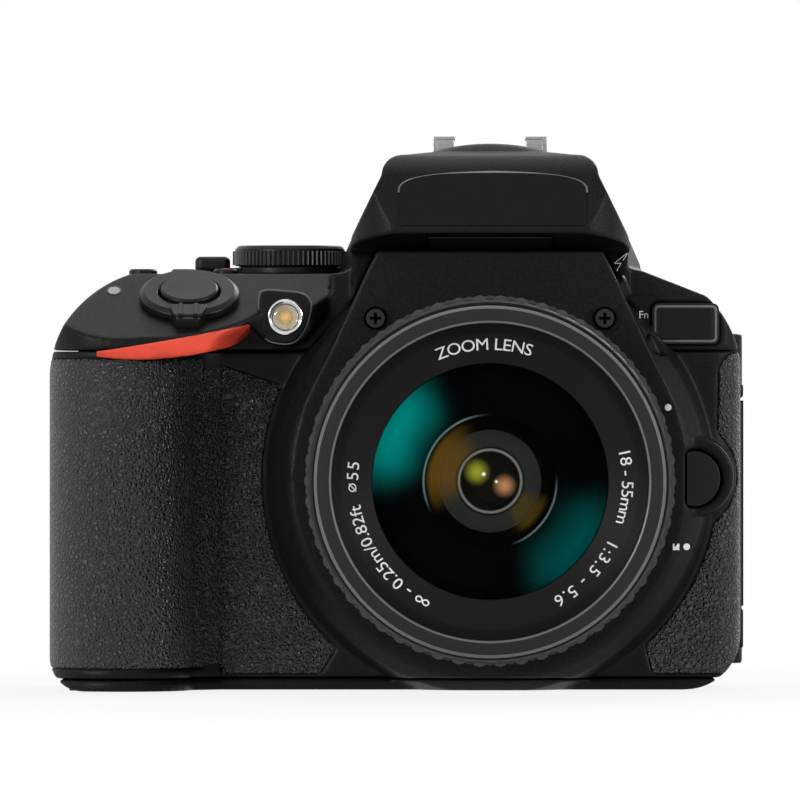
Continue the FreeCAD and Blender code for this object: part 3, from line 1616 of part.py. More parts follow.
barrel_back = lens_back + size.bayonet_thickness
bore_radius = size.inner_barrel_radius + size.sliding_gap
tube_radius = bore_radius + size.barrel_wall
node(turned("lens_barrel", [
    (light_radius, barrel_back),
    (size.barrel_radius - 0.8, barrel_back),
    (size.barrel_radius, barrel_back + 1),
    (size.barrel_radius, zoom_ring_back - size.turning_gap),
    (tube_radius, zoom_ring_back - size.turning_gap),
    (tube_radius, zoom_ring_front - size.turning_gap),
    (bore_radius, zoom_ring_front - size.turning_gap),
    (bore_radius, barrel_back + 2.2),
    (light_radius, barrel_back + 2.2),
], lens_at), "lens_barrel")
zoom_bore = tube_radius + size.running_gap
rib_back = zoom_ring_back + size.scale_band
rib_front = zoom_ring_front - size.ring_lip
band_radius = size.zoom_ring_radius - size.rib_height
zoom_turn = turned("zoom_turn", [
    (zoom_bore, zoom_ring_back),
    (size.zoom_ring_radius - 0.8, zoom_ring_back),
    (size.zoom_ring_radius, zoom_ring_back + 0.9),
    (size.zoom_ring_radius, rib_back),
    (band_radius, rib_back),
    (band_radius, rib_front),
    (band_radius + 0.35, rib_front),
    (band_radius - 0.05, zoom_ring_front),
    (zoom_bore, zoom_ring_front),
], lens_at)
RIB_COUNT = 54


def grip_rib(index):
    """One rib of the zoom ring's grip, rooted in its band."""
    angle = 2 * math.pi * index / RIB_COUNT
    root = band_radius - 0.4
    half = size.rib_width / 2
    rib = block(f"grip_rib_{index}", (0, 0, 0),
                (size.rib_width, rib_front - rib_back - 0.6, size.rib_height + 0.4))
    return place(rib, (root * math.sin(angle) - half * math.cos(angle), 0.3 - rib_front,
                       size.axis_height + root * math.cos(angle) + half * math.sin(angle)),
                 FreeCAD.Rotation(Vector(0, 1, 0), math.degrees(angle)))


node(fused("zoom_ring", [zoom_turn] + [grip_rib(index) for index in range(RIB_COUNT)]), "zoom_ring")

tube_inner = size.inner_barrel_radius - size.tube_wall
focus_seat = size.focus_ring_radius - 2.1
rim_back = focus_ring_front + size.turning_gap
cone_front = lens_front - size.filter_depth
cone_back = cone_front - size.name_ring_depth
seat_back = cone_back - 4.2
node(turned("front_barrel", [
    (tube_inner, zoom_ring_back + 4),
    (size.inner_barrel_radius, zoom_ring_back + 4),
    (size.inner_barrel_radius, zoom_ring_front + size.turning_gap),
    (size.focus_ring_radius - 0.3, zoom_ring_front + size.turning_gap),
    (size.focus_ring_radius - 0.3, focus_ring_back - size.turning_gap),
    (focus_seat, focus_ring_back - size.turning_gap),
    (focus_seat, rim_back),
    (rim_radius + 1.3, rim_back),
    (rim_radius + 1.3, rim_back + 1.4),
    (rim_radius, rim_back + 1.9),
    (rim_radius, lens_front),
    (size.filter_radius, lens_front),
    (size.filter_radius, cone_front),
    (size.front_glass_radius, cone_back),
    (size.front_glass_radius, seat_back),
    (size.front_glass_radius - 1.4, seat_back),
    (size.front_glass_radius - 1.4, seat_back - 1.2),
    (tube_inner, seat_back - 1.2),
], lens_at), "front_barrel")
node(turned("focus_ring", [
    (focus_seat + size.running_gap, focus_ring_back),
    (size.focus_ring_radius - 0.4, focus_ring_back),
    (size.focus_ring_radius, focus_ring_back + 0.5),
    (size.focus_ring_radius, focus_ring_front - 0.5),
    (size.focus_ring_radius - 0.4, focus_ring_front),
    (focus_seat + size.running_gap, focus_ring_front),
], lens_at), "focus_ring")
glass_edge = size.front_glass_radius - size.fit_gap
node(turned("front_element", [
    (0, seat_back + 0.1),
    (glass_edge, seat_back + 0.1),
    (glass_edge, cone_back - 1.6),
    (0.8 * glass_edge, cone_back - 0.5),
    (0.6 * glass_edge, cone_back + 0.3),
    (0.4 * glass_edge, cone_back + 0.8),
    (0.2 * glass_edge, cone_back + 1.1),
    (0, cone_back + 1.2),
], lens_at), "front_element")
group_back = barrel_back + 2.3
node(turned("rear_lens_group", [
    (0, group_back),
    (bore_radius - 0.1, group_back),
    (bore_radius - 0.1, group_back + 2),
    (13, group_back + 2),
    (13, group_back + 9),
    (0, group_back + 11),
], lens_at), "rear_lens_group")


# ---------------------------------------------------------------- the swing-out monitor

monitor_front = size.rear_face + size.monitor_gap
monitor_back = monitor_front + size.monitor_thickness
edge_radius = size.monitor_thickness / 2
hinge_across = flange_side - edge_radius
hinge_depth = monitor_front + edge_radius
panel_side = hinge_across - 4.7
knuckle_gap = size.turning_gap
KNUCKLE = 6.2
knuckle_low = strip_low + KNUCKLE
knuckle_high = strip_high - KNUCKLE


def monitor_edge(name, low, high):
    """One stretch of the monitor's hinge edge, rounded about the hinge."""
    return fused(name, [
        block(f"{name}_block", (panel_side - 1, monitor_front, low), (hinge_across, monitor_back, high)),
        rod(f"{name}_round", edge_radius, high - as_size(low), (hinge_across, hinge_depth, low)),
    ])


monitor_form = fused("monitor_form", [
    block("monitor_panel", (-size.monitor_far_edge, monitor_front, size.monitor_low),
          (panel_side, monitor_back, monitor_high)),
    monitor_edge("edge_low", size.monitor_low, strip_low - knuckle_gap),
    monitor_edge("edge_middle", knuckle_low + knuckle_gap, knuckle_high - knuckle_gap),
    monitor_edge("edge_high", strip_high + knuckle_gap, monitor_high),
])
glass_low = (size.bezel_side - size.monitor_far_edge, monitor_back - size.screen_glass,
             size.monitor_low + size.bezel_end)
glass_high = (panel_side - size.bezel_side, monitor_back, monitor_high - size.bezel_end)
screen_seat = block("screen_seat", [value - size.fit_gap for value in glass_low],
                    (glass_high[0] + size.fit_gap, monitor_back + 1, glass_high[2] + size.fit_gap))
hinge_bore = rod("hinge_bore", size.hinge_shaft_radius + size.running_gap, monitor_high - size.monitor_low,
                 (hinge_across, hinge_depth, size.monitor_low))
node(cut("monitor_housing", monitor_form, [screen_seat, hinge_bore]), "monitor_housing")
node(block("monitor_glass", glass_low, glass_high), "monitor_glass")

strip_inner = size.cable_side - 1.2 + size.strip_gap
bracket = fused("bracket", [
    block("bracket_strip", (strip_inner, size.rear_face - 7.4, strip_low),
          (flange_side, size.rear_face - 0.1, strip_high)),
    rod("bracket_shaft", size.hinge_shaft_radius, strip_high - strip_low,
        (hinge_across, hinge_depth, strip_low)),
] + [
    fused(f"bracket_knuckle_{side}", [
        rod(f"bracket_eye_{side}", edge_radius - 0.2, high - as_size(low), (hinge_across, hinge_depth, low)),
        block(f"bracket_arm_{side}", (strip_inner, size.rear_face - 1, low),
              (flange_side - 0.1, hinge_depth, high)),
    ])
    for side, low, high in (("low", strip_low, knuckle_low), ("high", knuckle_high, strip_high))
])
node(bracket, "monitor_bracket")


# ---------------------------------------------------------------- checks and files

doc.recompute()
for item in doc.Objects:
    if "Invalid" in item.State or "Error" in item.State:
        raise RuntimeError(f"{item.Name} failed: {item.State}")
for name, item in NODES.items():
    if item.Shape.isNull() or not item.Shape.isValid() or not item.Shape.Solids:
        raise RuntimeError(f"{name} has no valid solid")

os.makedirs("parts", exist_ok=True)
for name, item in NODES.items():
    item.Shape.exportStep(f"parts/{name}.step")
print(f"{len(NODES)} sub-parts written")
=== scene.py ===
"""A digital SLR camera with its kit zoom lens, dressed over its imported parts."""
import json
import logging
import math
from dataclasses import dataclass, field
from enum import Enum
from typing import Callable, Optional, Sequence, Union

import bmesh
import bpy
from bmesh.types import BMesh, BMVert
from bpy.types import Material, Mesh, Node, NodeSocket, NodeTree, Object
from mathutils import Matrix, Vector
from mathutils.bvhtree import BVHTree


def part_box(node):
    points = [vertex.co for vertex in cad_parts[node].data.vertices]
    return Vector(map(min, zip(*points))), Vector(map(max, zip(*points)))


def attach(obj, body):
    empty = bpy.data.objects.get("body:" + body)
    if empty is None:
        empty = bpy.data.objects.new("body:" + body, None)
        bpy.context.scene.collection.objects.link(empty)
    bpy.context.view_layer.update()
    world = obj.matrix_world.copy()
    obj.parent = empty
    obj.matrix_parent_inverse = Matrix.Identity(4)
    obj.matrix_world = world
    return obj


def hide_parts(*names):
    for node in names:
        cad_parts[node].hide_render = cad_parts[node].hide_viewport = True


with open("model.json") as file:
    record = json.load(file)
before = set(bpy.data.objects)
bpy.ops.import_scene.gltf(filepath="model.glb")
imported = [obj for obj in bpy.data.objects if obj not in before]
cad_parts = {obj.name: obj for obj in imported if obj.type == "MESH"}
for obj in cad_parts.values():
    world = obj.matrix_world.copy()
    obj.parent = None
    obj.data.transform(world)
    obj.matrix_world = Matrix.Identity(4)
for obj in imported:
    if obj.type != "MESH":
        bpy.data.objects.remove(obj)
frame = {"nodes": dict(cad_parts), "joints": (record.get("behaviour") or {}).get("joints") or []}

LOG = logging.getLogger("camera")
MM = 0.001
Colour = tuple[float, float, float]
Pair = tuple[float, float]
Outline = Sequence[Pair]
Number = Union[float, int, "Wire"]
Sizes = dict[str, Union[int, float]]
Points = Sequence[Sequence[float]]
LEFT = Vector((-1, 0, 0))
RIGHT = Vector((1, 0, 0))
FRONT = Vector((0, -1, 0))
BACK = Vector((0, 1, 0))
UP = Vector((0, 0, 1))
DOWN = Vector((0, 0, -1))
CAPITAL = 0.69  # the height of a capital in the built-in typeface, for a size of 1
AXIS_UP = 0.0376  # how high the lens axis is, in metres
COVER_FACES = 190000  # the most triangles of a large cover


# -------------------- node trees


def operator(kind: str, swapped: bool = False) -> Callable[["Wire", Number], "Wire"]:
    """An operator that adds a Math node.

    Args:
        kind: the node's operation.
        swapped: whether the other value comes first, as in 1 - mask.

    Returns:
        The operator.
    """
    def apply(self: "Wire", other: Number) -> "Wire":
        """The node's result on both values."""
        return self.tree.math(kind, *((other, self) if swapped else (self, other)))

    return apply


class Wire:
    """One output socket; Python's operators on it add Math nodes."""

    __add__ = __radd__ = operator("ADD")
    __mul__ = __rmul__ = operator("MULTIPLY")
    __sub__, __rsub__ = operator("SUBTRACT"), operator("SUBTRACT", True)
    __truediv__, __rtruediv__ = operator("DIVIDE"), operator("DIVIDE", True)
    __pow__ = operator("POWER")

    def __init__(self, tree: "Tree", socket: NodeSocket) -> None:
        """Keeps the socket and its tree."""
        self.tree = tree
        self.socket = socket


class Step:
    """A node just added, whose outputs are read as wires."""

    def __init__(self, tree: "Tree", node: Node) -> None:
        """Keeps the node and its tree."""
        self.tree = tree
        self.node = node

    def __getitem__(self, key: Union[int, str]) -> Wire:
        """The output with that place, identifier or name."""
        return Wire(self.tree, Tree.socket(self.node.outputs, key))


class Tree:
    """A node tree, and the one way in which nodes are added to it."""

    def __init__(self, held: NodeTree) -> None:
        """Keeps the tree."""
        self.held = held

    @staticmethod
    def socket(sockets: bpy.types.bpy_prop_collection,
               key: Union[int, str]) -> NodeSocket:
        """Finds a socket.

        Args:
            sockets: the inputs or outputs of a node.
            key: its place, identifier or name.

        Returns:
            The socket.
        """
        if isinstance(key, int):
            return sockets[key]
        return next((s for s in sockets if s.identifier == key), None) or sockets[key]

    def add(self, kind: str, settings: Optional[dict] = None,
            inputs: Optional[dict] = None) -> Step:
        """Adds a node.

        Args:
            kind: the node's type.
            settings: its properties, set before its sockets.
            inputs: a value or a wire for each socket.

        Returns:
            The added node.
        """
        node = self.held.nodes.new(kind)
        for name, value in (settings or {}).items():
            setattr(node, name, value)
        for key, value in (inputs or {}).items():
            socket = self.socket(node.inputs, key)
            if isinstance(value, Wire):
                self.held.links.new(value.socket, socket)
            elif socket.type == "RGBA" and len(value) == 3:
                socket.default_value = (*value, 1.0)
            else:
                socket.default_value = value
        return Step(self, node)

    def math(self, operation: str, *values: Number) -> Wire:
        """A Math node's result on the values."""
        return self.add("ShaderNodeMath", {"operation": operation}, dict(enumerate(values)))[0]

    def distance(self, across: Wire, up: Wire) -> Wire:
        """The length of a flat vector."""
        return self.math("SQRT", across * across + up * up)

    def looking(self) -> Wire:
        """Tells what sees the surface.

        Returns:
            1 for rays from the camera, a reflection or glass, and 0 for those that carry light.
        """
        path = self.add("ShaderNodeLightPath")
        rays = path["Is Camera Ray"] + path["Is Glossy Ray"] + path["Is Transmission Ray"]
        return self.math("MINIMUM", rays, 1.0)


class Paint(Tree):
    """A material's nodes, in Object coordinates."""

    def __init__(self, name: str) -> None:
        """Starts an empty material.

        Args:
            name: the material's name.
        """
        self.material = bpy.data.materials.new(name)
        self.material.use_nodes = True
        super().__init__(self.material.node_tree)
        self.held.nodes.clear()
        self.here = self.add("ShaderNodeTexCoord")["Object"]

    def moved(self, centre: Sequence[float] = (0, 0, 0),
              stretch: Sequence[float] = (1, 1, 1)) -> Wire:
        """Coordinates measured from a centre, then stretched.

        Args:
            centre: the new zero, in metres.
            stretch: the scale along each axis.

        Returns:
            The coordinates.
        """
        shift = [-c * s for c, s in zip(centre, stretch)]
        return self.add("ShaderNodeMapping", None,
                        {"Vector": self.here, "Location": shift, "Scale": stretch})["Vector"]

    def noise(self, size: float, detail: float = 2.0, at: Optional[Wire] = None) -> Wire:
        """Cloudy noise about 0.5, its clouds so many millimetres wide."""
        return self.add("ShaderNodeTexNoise", None, {
            "Vector": at or self.here, "Scale": 1 / (size * MM), "Detail": detail})[0]

    def cells(self, size: float, feature: str, at: Optional[Wire] = None) -> Wire:
        """A measure of rounded cells, in cells so many millimetres wide."""
        return self.add("ShaderNodeTexVoronoi", {"feature": feature}, {
            "Vector": at or self.here, "Scale": 1 / (size * MM)})["Distance"]

    def smooth(self, value: Number, low: float, high: float) -> Wire:
        """A soft step: 0 up to low, and 1 from high on."""
        return self.add("ShaderNodeMapRange", {"interpolation_type": "SMOOTHSTEP"},
                        {"Value": value, "From Min": low, "From Max": high})[0]

    def mix(self, share: Number, first: Union[Colour, Wire],
            second: Union[Colour, Wire]) -> Wire:
        """A blend of two colours, with this share of the second."""
        return self.add("ShaderNodeMix", {"data_type": "RGBA"}, {
            "Factor_Float": share, "A_Color": first, "B_Color": second})["Result_Color"]

    def split(self, vector: Wire) -> tuple[Wire, Wire, Wire]:
        """The three parts of a vector."""
        parts = self.add("ShaderNodeSeparateXYZ", None, {"Vector": vector})
        return parts[0], parts[1], parts[2]

    def bump(self, height: Number, depth: float, strength: float = 1.0) -> Wire:
        """The normal of a relief, whose height 1 is so many millimetres deep."""
        return self.add("ShaderNodeBump", None, {
            "Height": height, "Distance": depth * MM, "Strength": strength})["Normal"]

    def close(self, shader: Wire) -> Material:
        """Ends the material in this shader and returns it."""
        self.add("ShaderNodeOutputMaterial", None, {"Surface": shader})
        return self.material


# -------------------- finishes


def shade(colour: Colour, share: float) -> Colour:
    """A colour made darker or lighter by a share."""
    return tuple(c * share for c in colour)


@dataclass(frozen=True)
class Finish:
    """A surface finish, made into a material once.

    Its colour lies between a dark and a light share of itself, and its roughness wanders by
    an uneven part.
    """

    name: str
    slot: str
    colour: Colour
    roughness: float
    specular: float = 0.4
    metallic: float = 0.0
    glow: float = 0.0
    dark: float = 0.85
    light: float = 1.15
    uneven: float = 0.12

    def toned(self, paint: Paint, share: Wire) -> Wire:
        """The colour from its dark share at 0 to its light share at 1."""
        return paint.mix(share, shade(self.colour, self.dark), shade(self.colour, self.light))

    def rough(self, wander: Wire) -> Wire:
        """The roughness, made uneven by noise about 0.5."""
        return self.roughness + (wander - 0.5) * self.uneven

    def sockets(self, paint: Paint) -> dict:
        """The shader's sockets that vary over the surface."""
        cloud = paint.noise(3.0)
        return {"Base Color": self.toned(paint, cloud), "Roughness": self.rough(cloud)}

    def values(self, paint: Paint) -> dict:
        """All sockets of the shader that aren't left as they are.

        Args:
            paint: the material's nodes.

        Returns:
            A value or a wire for each.
        """
        plain = {"Base Color": self.colour, "Roughness": self.roughness,
                 "Metallic": self.metallic, "Specular IOR Level": self.specular,
                 "Emission Strength": self.glow, "Emission Color": self.colour}
        return {**plain, **self.sockets(paint)}

    def material(self) -> Material:
        """Makes the material at its first use.

        Returns:
            The material.
        """
        name = f"{self.name}_finish"
        if name in bpy.data.materials:
            return bpy.data.materials[name]
        paint = Paint(name)
        return paint.close(paint.add("ShaderNodeBsdfPrincipled", None, self.values(paint))["BSDF"])


@dataclass(frozen=True)
class SandedPlastic(Finish):
    """Moulded plastic with the fine sand texture of a camera's covers."""

    dark: float = 0.75
    light: float = 1.5
    uneven: float = 0.16
    speck_gloss: float = 0.06
    grain: float = 0.28
    depth: float = 0.03

    def sockets(self, paint: Paint) -> dict:
        """Speckled colour, uneven sheen and a sandy relief.

        Args:
            paint: the material's nodes.

        Returns:
            A wire for each socket that varies.
        """
        sand = paint.noise(self.grain, 3.0)
        handled = paint.noise(14.0, 3.0)
        speck = paint.smooth(sand, 0.42, 0.68)
        return {
            "Base Color": self.toned(paint, speck),
            "Roughness": self.rough(handled) - speck * self.speck_gloss,
            "Normal": paint.bump(sand, self.depth, 0.8),
        }


@dataclass(frozen=True)
class GrainedRubber(Finish):
    """Rubber moulded with leather-like pebbles between fine creases."""

    # Colour shares: painted shade in the creases and a painted highlight on the pebbles.
    dark: float = 0.5
    light: float = 1.3
    cell: float = 0.85
    depth: float = 1.1
    crease_matt: float = 0.14
    pebble_gloss: float = 0.16

    def sockets(self, paint: Paint) -> dict:
        """Pebbles, creases and pores, with painted shade in the creases and a painted highlight on
        the pebbles.

        Args:
            paint: the material's nodes.

        Returns:
            A wire for each socket that varies.
        """
        wander = paint.add("ShaderNodeTexNoise", None, {
            "Vector": paint.here, "Scale": 1 / (self.cell * 1.3 * MM), "Detail": 3.0})["Color"]
        bent = paint.add("ShaderNodeVectorMath", {"operation": "MULTIPLY_ADD"}, {
            0: wander, 1: [self.cell * 0.95 * MM] * 3, 2: paint.here})[0]
        pebble = paint.smooth(paint.cells(self.cell, "DISTANCE_TO_EDGE", bent), 0.0, 0.36)
        pores = paint.noise(0.3, 3.0)
        return {
            # Darker in the creases and lighter on the pebbles: painted shade and painted highlight
            # of the relief.
            "Base Color": self.toned(paint, pebble),
            "Roughness": self.roughness + self.crease_matt - pebble * self.pebble_gloss,
            "Normal": paint.bump(pebble * 0.75 + pores * 0.25, self.depth),
        }


@dataclass(frozen=True)
class TurnedMetal(Finish):
    """Metal or hard plastic turned on a lathe, with rings about the lens axis."""

    dark: float = 0.8
    light: float = 1.2
    uneven: float = 0.14
    pitch: float = 0.12
    core: float = 0.0
    core_share: float = 0.42
    # The colour's share in the painted shade band of the groove.
    painted_shade_share: float = 0.2

    def sockets(self, paint: Paint) -> dict:
        """Rings at all distances from the axis, and a dimmer core whose outer band, in the groove
        under the rim, is darkened as painted shade.

        Args:
            paint: the material's nodes.

        Returns:
            A wire for each socket that varies.
        """
        across, _, up = paint.split(paint.moved((0.0, 0.0, AXIS_UP)))
        radius = paint.distance(across, up)
        rings = paint.add("ShaderNodeTexNoise", {"noise_dimensions": "1D"}, {
            "W": radius, "Scale": 1 / (self.pitch * MM), "Detail": 2.0})[0]
        colour = self.toned(paint, rings)
        if self.core:
            edge = paint.smooth(radius, (self.core - 0.1) * MM, (self.core + 0.1) * MM)
            # A band just inside the core's edge, darkened as painted shade where the rim shades the
            # groove.
            groove = paint.smooth(radius, (self.core - 2.2) * MM, (self.core - 1.2) * MM)
            dim = paint.mix(groove, shade(self.colour, self.core_share),
                            shade(self.colour, self.painted_shade_share))
            colour = paint.mix(1 - edge, colour, dim)
        return {
            "Base Color": colour,
            "Roughness": self.rough(rings),
            "Normal": paint.bump(rings, 0.006, 0.6),
        }


@dataclass(frozen=True)
class BrushedMetal(Finish):
    """Metal brushed from front to back."""

    dark: float = 0.8
    light: float = 1.1
    uneven: float = 0.2

    def sockets(self, paint: Paint) -> dict:
        """Long scratches and faint stains.

        Args:
            paint: the material's nodes.

        Returns:
            A wire for each socket that varies.
        """
        scratch = paint.noise(0.16, 3.0, paint.moved(stretch=(1.0, 0.04, 1.0)))
        return {
            "Base Color": self.toned(paint, paint.noise(4.0)),
            "Roughness": self.rough(scratch),
            "Normal": paint.bump(scratch, 0.008, 0.6),
        }


@dataclass(frozen=True)
class ClearGlass(Finish):
    """Polished glass that light passes through."""

    tint: Colour = (0.9, 0.97, 0.96)
    index: float = 1.5

    def values(self, paint: Paint) -> dict:
        """All sockets of the glass.

        Args:
            paint: the material's nodes.

        Returns:
            A value or a wire for each.
        """
        smear = paint.noise(6.0, 3.0)
        return {"Base Color": self.tint, "Roughness": smear * self.roughness,
                "IOR": self.index, "Transmission Weight": 1.0}


@dataclass(frozen=True)
class CoatedOptics(Finish):
    """Dark lens surfaces with painted reflections of the lights in their coatings: coloured
    crescents, arcs, glows and glints.
    """

    # Apart from step_grey, pupil and pupil_edge, these colours are painted reflections and
    # highlights; amber is a painted amber reflection.
    painted_teal_reflection: Colour = (0.0, 0.15, 0.133)
    painted_dim_teal_reflection: Colour = (0.0, 0.043, 0.039)
    painted_arc_highlight: Colour = (0.09, 0.13, 0.13)
    painted_dim_arc_highlight: Colour = (0.09, 0.12, 0.12)
    step_grey: Colour = (0.017, 0.0165, 0.016)
    amber: Colour = (0.09, 0.044, 0.006)
    painted_dim_amber_reflection: Colour = (0.05, 0.03, 0.004)
    pupil: Colour = (0.004, 0.0035, 0.003)
    pupil_edge: Colour = (0.12, 0.11, 0.1)
    painted_yellow_reflection: Colour = (0.22, 0.2, 0.015)
    painted_rose_reflection: Colour = (0.36, 0.15, 0.07)
    painted_glint: Colour = (0.9, 0.9, 0.85)

    def sockets(self, paint: Paint) -> dict:
        """Painted reflections and highlights about the lens axis: crescents, arcs, glows and
        glints, in millimetres and degrees.

        Args:
            paint: the material's nodes.

        Returns:
            A wire for each socket that varies.
        """
        across, _, up = paint.split(paint.moved((0, 0, AXIS_UP), (1000, 1000, 1000)))
        radius = paint.distance(across, up)
        safe = paint.math("MAXIMUM", radius, 0.01)

        def towards(angle: float, wide: float, soft: float) -> Wire:
            """Picks out one side of the axis.

            Args:
                angle: its middle, in degrees.
                wide: how far it reaches to either side.
                soft: how far it fades beyond that.

            Returns:
                1 in those directions and 0 in the others.
            """
            turn, near, far = (math.radians(a) for a in (angle, wide, wide + soft))
            close = (across * math.cos(turn) + up * math.sin(turn)) / safe
            return paint.smooth(close, math.cos(far), math.cos(near))

        def band(low: float, high: float, soft: float) -> Wire:
            """1 where the radius is between low and high, falling to 0 over soft."""
            outside = paint.smooth(radius, high, high + soft)
            return paint.smooth(radius, low - soft, low) * (1 - outside)

        def glow(x: float, y: float, reach: float) -> Wire:
            """1 at a point, falling to 0 at its reach."""
            return 1 - paint.smooth(paint.distance(across - x, up - y), 0.0, reach)

        # Noise that mottles the painted teal reflection.
        reflection_mottle = paint.noise(7.0, 1.0)
        rim = paint.smooth(radius, 10.5, 19.5)
        # Each layer but the grey step, the dark pupil and its rim is a painted reflection or
        # painted highlight.
        layers = (
            (rim * towards(152, 0, 54) ** 6 * (0.75 + reflection_mottle * 0.5), self.painted_teal_reflection),
            (rim * towards(-38, 0, 50) ** 4, self.painted_dim_teal_reflection),
            (band(11.4, 11.6, 0.13) * towards(150, 30, 30) * 0.8, self.painted_arc_highlight),
            (band(11.4, 11.6, 0.13) * towards(-33, 14, 26) * 0.7, self.painted_dim_arc_highlight),
            (band(6.0, 8.7, 0.3), self.step_grey),
            (band(6.2, 10.2, 1.2) * towards(160, 0, 60) ** 1.6 * 0.85, self.amber),
            (band(6.4, 9.6, 1.2) * towards(-38, 3, 24) * 0.7, self.painted_dim_amber_reflection),
            (1 - paint.smooth(radius, 5.6, 5.9), self.pupil),
            (band(5.25, 5.55, 0.15), self.pupil_edge),
            (glow(-2.3, 1.6, 2.7), self.painted_yellow_reflection),
            (glow(2.5, -0.8, 2.4), self.painted_rose_reflection),
            (glow(-1.1, 1.2, 0.5), self.painted_glint),
            (glow(1.1, -0.1, 0.4), self.painted_glint),
        )
        colour: Union[Colour, Wire] = self.colour
        for share, tone in layers:
            colour = paint.mix(share, colour, tone)
        # The painted pattern also feeds the emission colour, so the painted reflections glow.
        return {"Base Color": colour, "Emission Color": colour}


@dataclass(frozen=True)
class CircuitBoard(Finish):
    """Solder mask over fine copper traces."""

    trace_light: float = 1.9

    def sockets(self, paint: Paint) -> dict:
        """Traces as thin raised lines.

        Args:
            paint: the material's nodes.

        Returns:
            A wire for each socket that varies.
        """
        lines = paint.smooth(paint.cells(2.2, "DISTANCE_TO_EDGE"), 0.03, 0.07)
        return {
            "Base Color": paint.mix(lines, shade(self.colour, self.trace_light), self.colour),
            "Normal": paint.bump(1 - lines, 0.05),
        }


class Finishes(Enum):
    """The finishes of this camera: name, slot, colour, roughness, specular and metallic."""

    COVER = SandedPlastic(
        "cover_black", "body_black", (0.0068, 0.007, 0.0073), 0.42, 0.1, grain=0.32, depth=0.07)
    CONTROL = SandedPlastic(
        "control_black", "control_black", (0.0075, 0.0075, 0.008), 0.36, 0.18, grain=0.2,
        depth=0.012)
    GLOSS = Finish("gloss_black", "control_black", (0.004, 0.004, 0.0045), 0.22, 0.14)
    LEATHER = GrainedRubber(
        "leather_rubber", "leather_rubber", (0.026, 0.0264, 0.0275), 0.28, 0.6)
    RUBBER = SandedPlastic(
        "soft_rubber", "soft_rubber", (0.008, 0.008, 0.0083), 0.62, 0.15, grain=0.16, depth=0.01)
    # Rubber much lighter than RUBBER: a painted highlight standing in for the light on the ribs.
    KNURL = SandedPlastic(
        "knurled_rubber", "soft_rubber", (0.044, 0.0442, 0.045), 0.34, 0.45, grain=0.16,
        depth=0.006)
    LENS = SandedPlastic(
        "lens_black", "body_black", (0.007, 0.007, 0.0073), 0.42, 0.12, grain=0.2, depth=0.016)
    # Its core inside the rim is dimmer, with a painted shade band in the groove under the rim.
    RIM = TurnedMetal("rim_black", "body_black", (0.021, 0.0215, 0.022), 0.46, 0.06, core=27.3)
    # Near-black painted shade for the screws' recesses.
    RECESS_SHADE = Finish("gap_black", "frame_black", (0.0012, 0.0012, 0.0012), 0.9, 0.0)
    INSIDE = Finish("inside_black", "frame_black", (0.008, 0.008, 0.0085), 0.75, 0.15)
    RED = Finish("accent_red", "accent_red", (0.72, 0.07, 0.04), 0.42, 0.2)
    STEEL = BrushedMetal("bright_steel", "bright_steel", (0.4, 0.4, 0.41), 0.42, 0.5, 1.0)
    MOUNT = TurnedMetal("turned_steel", "bright_steel", (0.62, 0.61, 0.6), 0.26, 0.5, 1.0)
    SCREW = BrushedMetal("black_steel", "black_steel", (0.022, 0.022, 0.023), 0.32, 0.5, 0.6)
    GOLD = Finish("contact_gold", "bright_steel", (0.75, 0.52, 0.2), 0.3, 0.5, 1.0)
    PRINT = Finish("white_print", "control_black", (0.72, 0.72, 0.71), 0.5, 0.3)
    # A light grey laid along edges as a painted highlight.
    EDGE = Finish("worn_edge", "body_black", (0.1, 0.1, 0.101), 0.32, 0.45)
    GREY_PRINT = Finish("grey_print", "control_black", (0.32, 0.32, 0.325), 0.4, 0.3)
    AMBER = Finish("lamp_amber", "clear_glass", (0.8, 0.42, 0.1), 0.3, 0.5, glow=0.25)
    BOWL = Finish("lamp_bowl_silver", "bright_steel", (0.8, 0.8, 0.76), 0.25, 0.5, 0.3)
    CHROME = Finish("lamp_chrome", "bright_steel", (0.7, 0.7, 0.7), 0.14, 0.5, 1.0)
    GLASS = ClearGlass("clear_glass", "clear_glass", (0.95, 0.98, 0.98), 0.02, 0.5)
    FRONT_GLASS = ClearGlass("coated_glass", "clear_glass", (0.98, 1.0, 0.99), 0.0, index=1.02)
    # Darkened as painted shade: the window lies in the shade of the flash head's overhang.
    DIFFUSER = Finish("flash_diffuser", "clear_glass", (0.011, 0.011, 0.0115), 0.34, 0.2)
    # Its glow is a painted glow: the coated optics shine by emission though they are no lamp.
    OPTICS = CoatedOptics(
        "coated_optics", "clear_glass", (0.0008, 0.0009, 0.001), 0.5, 0.0, glow=0.55)
    SCREEN = Finish("screen_glass", "screen_glass", (0.004, 0.004, 0.0045), 0.06, 0.5)
    PICTURE = Finish("monitor_picture", "screen_glass", (0.012, 0.013, 0.015), 0.05, 0.5)
    SENSOR = Finish("sensor_glass", "screen_glass", (0.03, 0.012, 0.04), 0.05, 0.6)
    MIRROR = Finish("mirror_silver", "mirror_silver", (0.85, 0.87, 0.88), 0.04, 0.5, 1.0)
    BOARD = CircuitBoard("board_green", "board_green", (0.015, 0.12, 0.05), 0.4)
    CELL = SandedPlastic("cell_grey", "cell_grey", (0.1, 0.1, 0.11), 0.5, 0.4)


# -------------------- meshes


def axes(origin: Vector, along: Vector, right: Optional[Vector] = None) -> Matrix:
    """A place whose Z points along a direction.

    Args:
        origin: the place's zero, in metres.
        along: the direction of its Z.
        right: the direction nearest its X.

    Returns:
        The matrix from that place to the frame.
    """
    z = Vector(along).normalized()
    start = right if right is not None else RIGHT if abs(z.x) < 0.9 else BACK
    x = (start - z * start.dot(z)).normalized()
    turn = Matrix((x, z.cross(x), z)).transposed().to_4x4()
    turn.translation = origin
    return turn


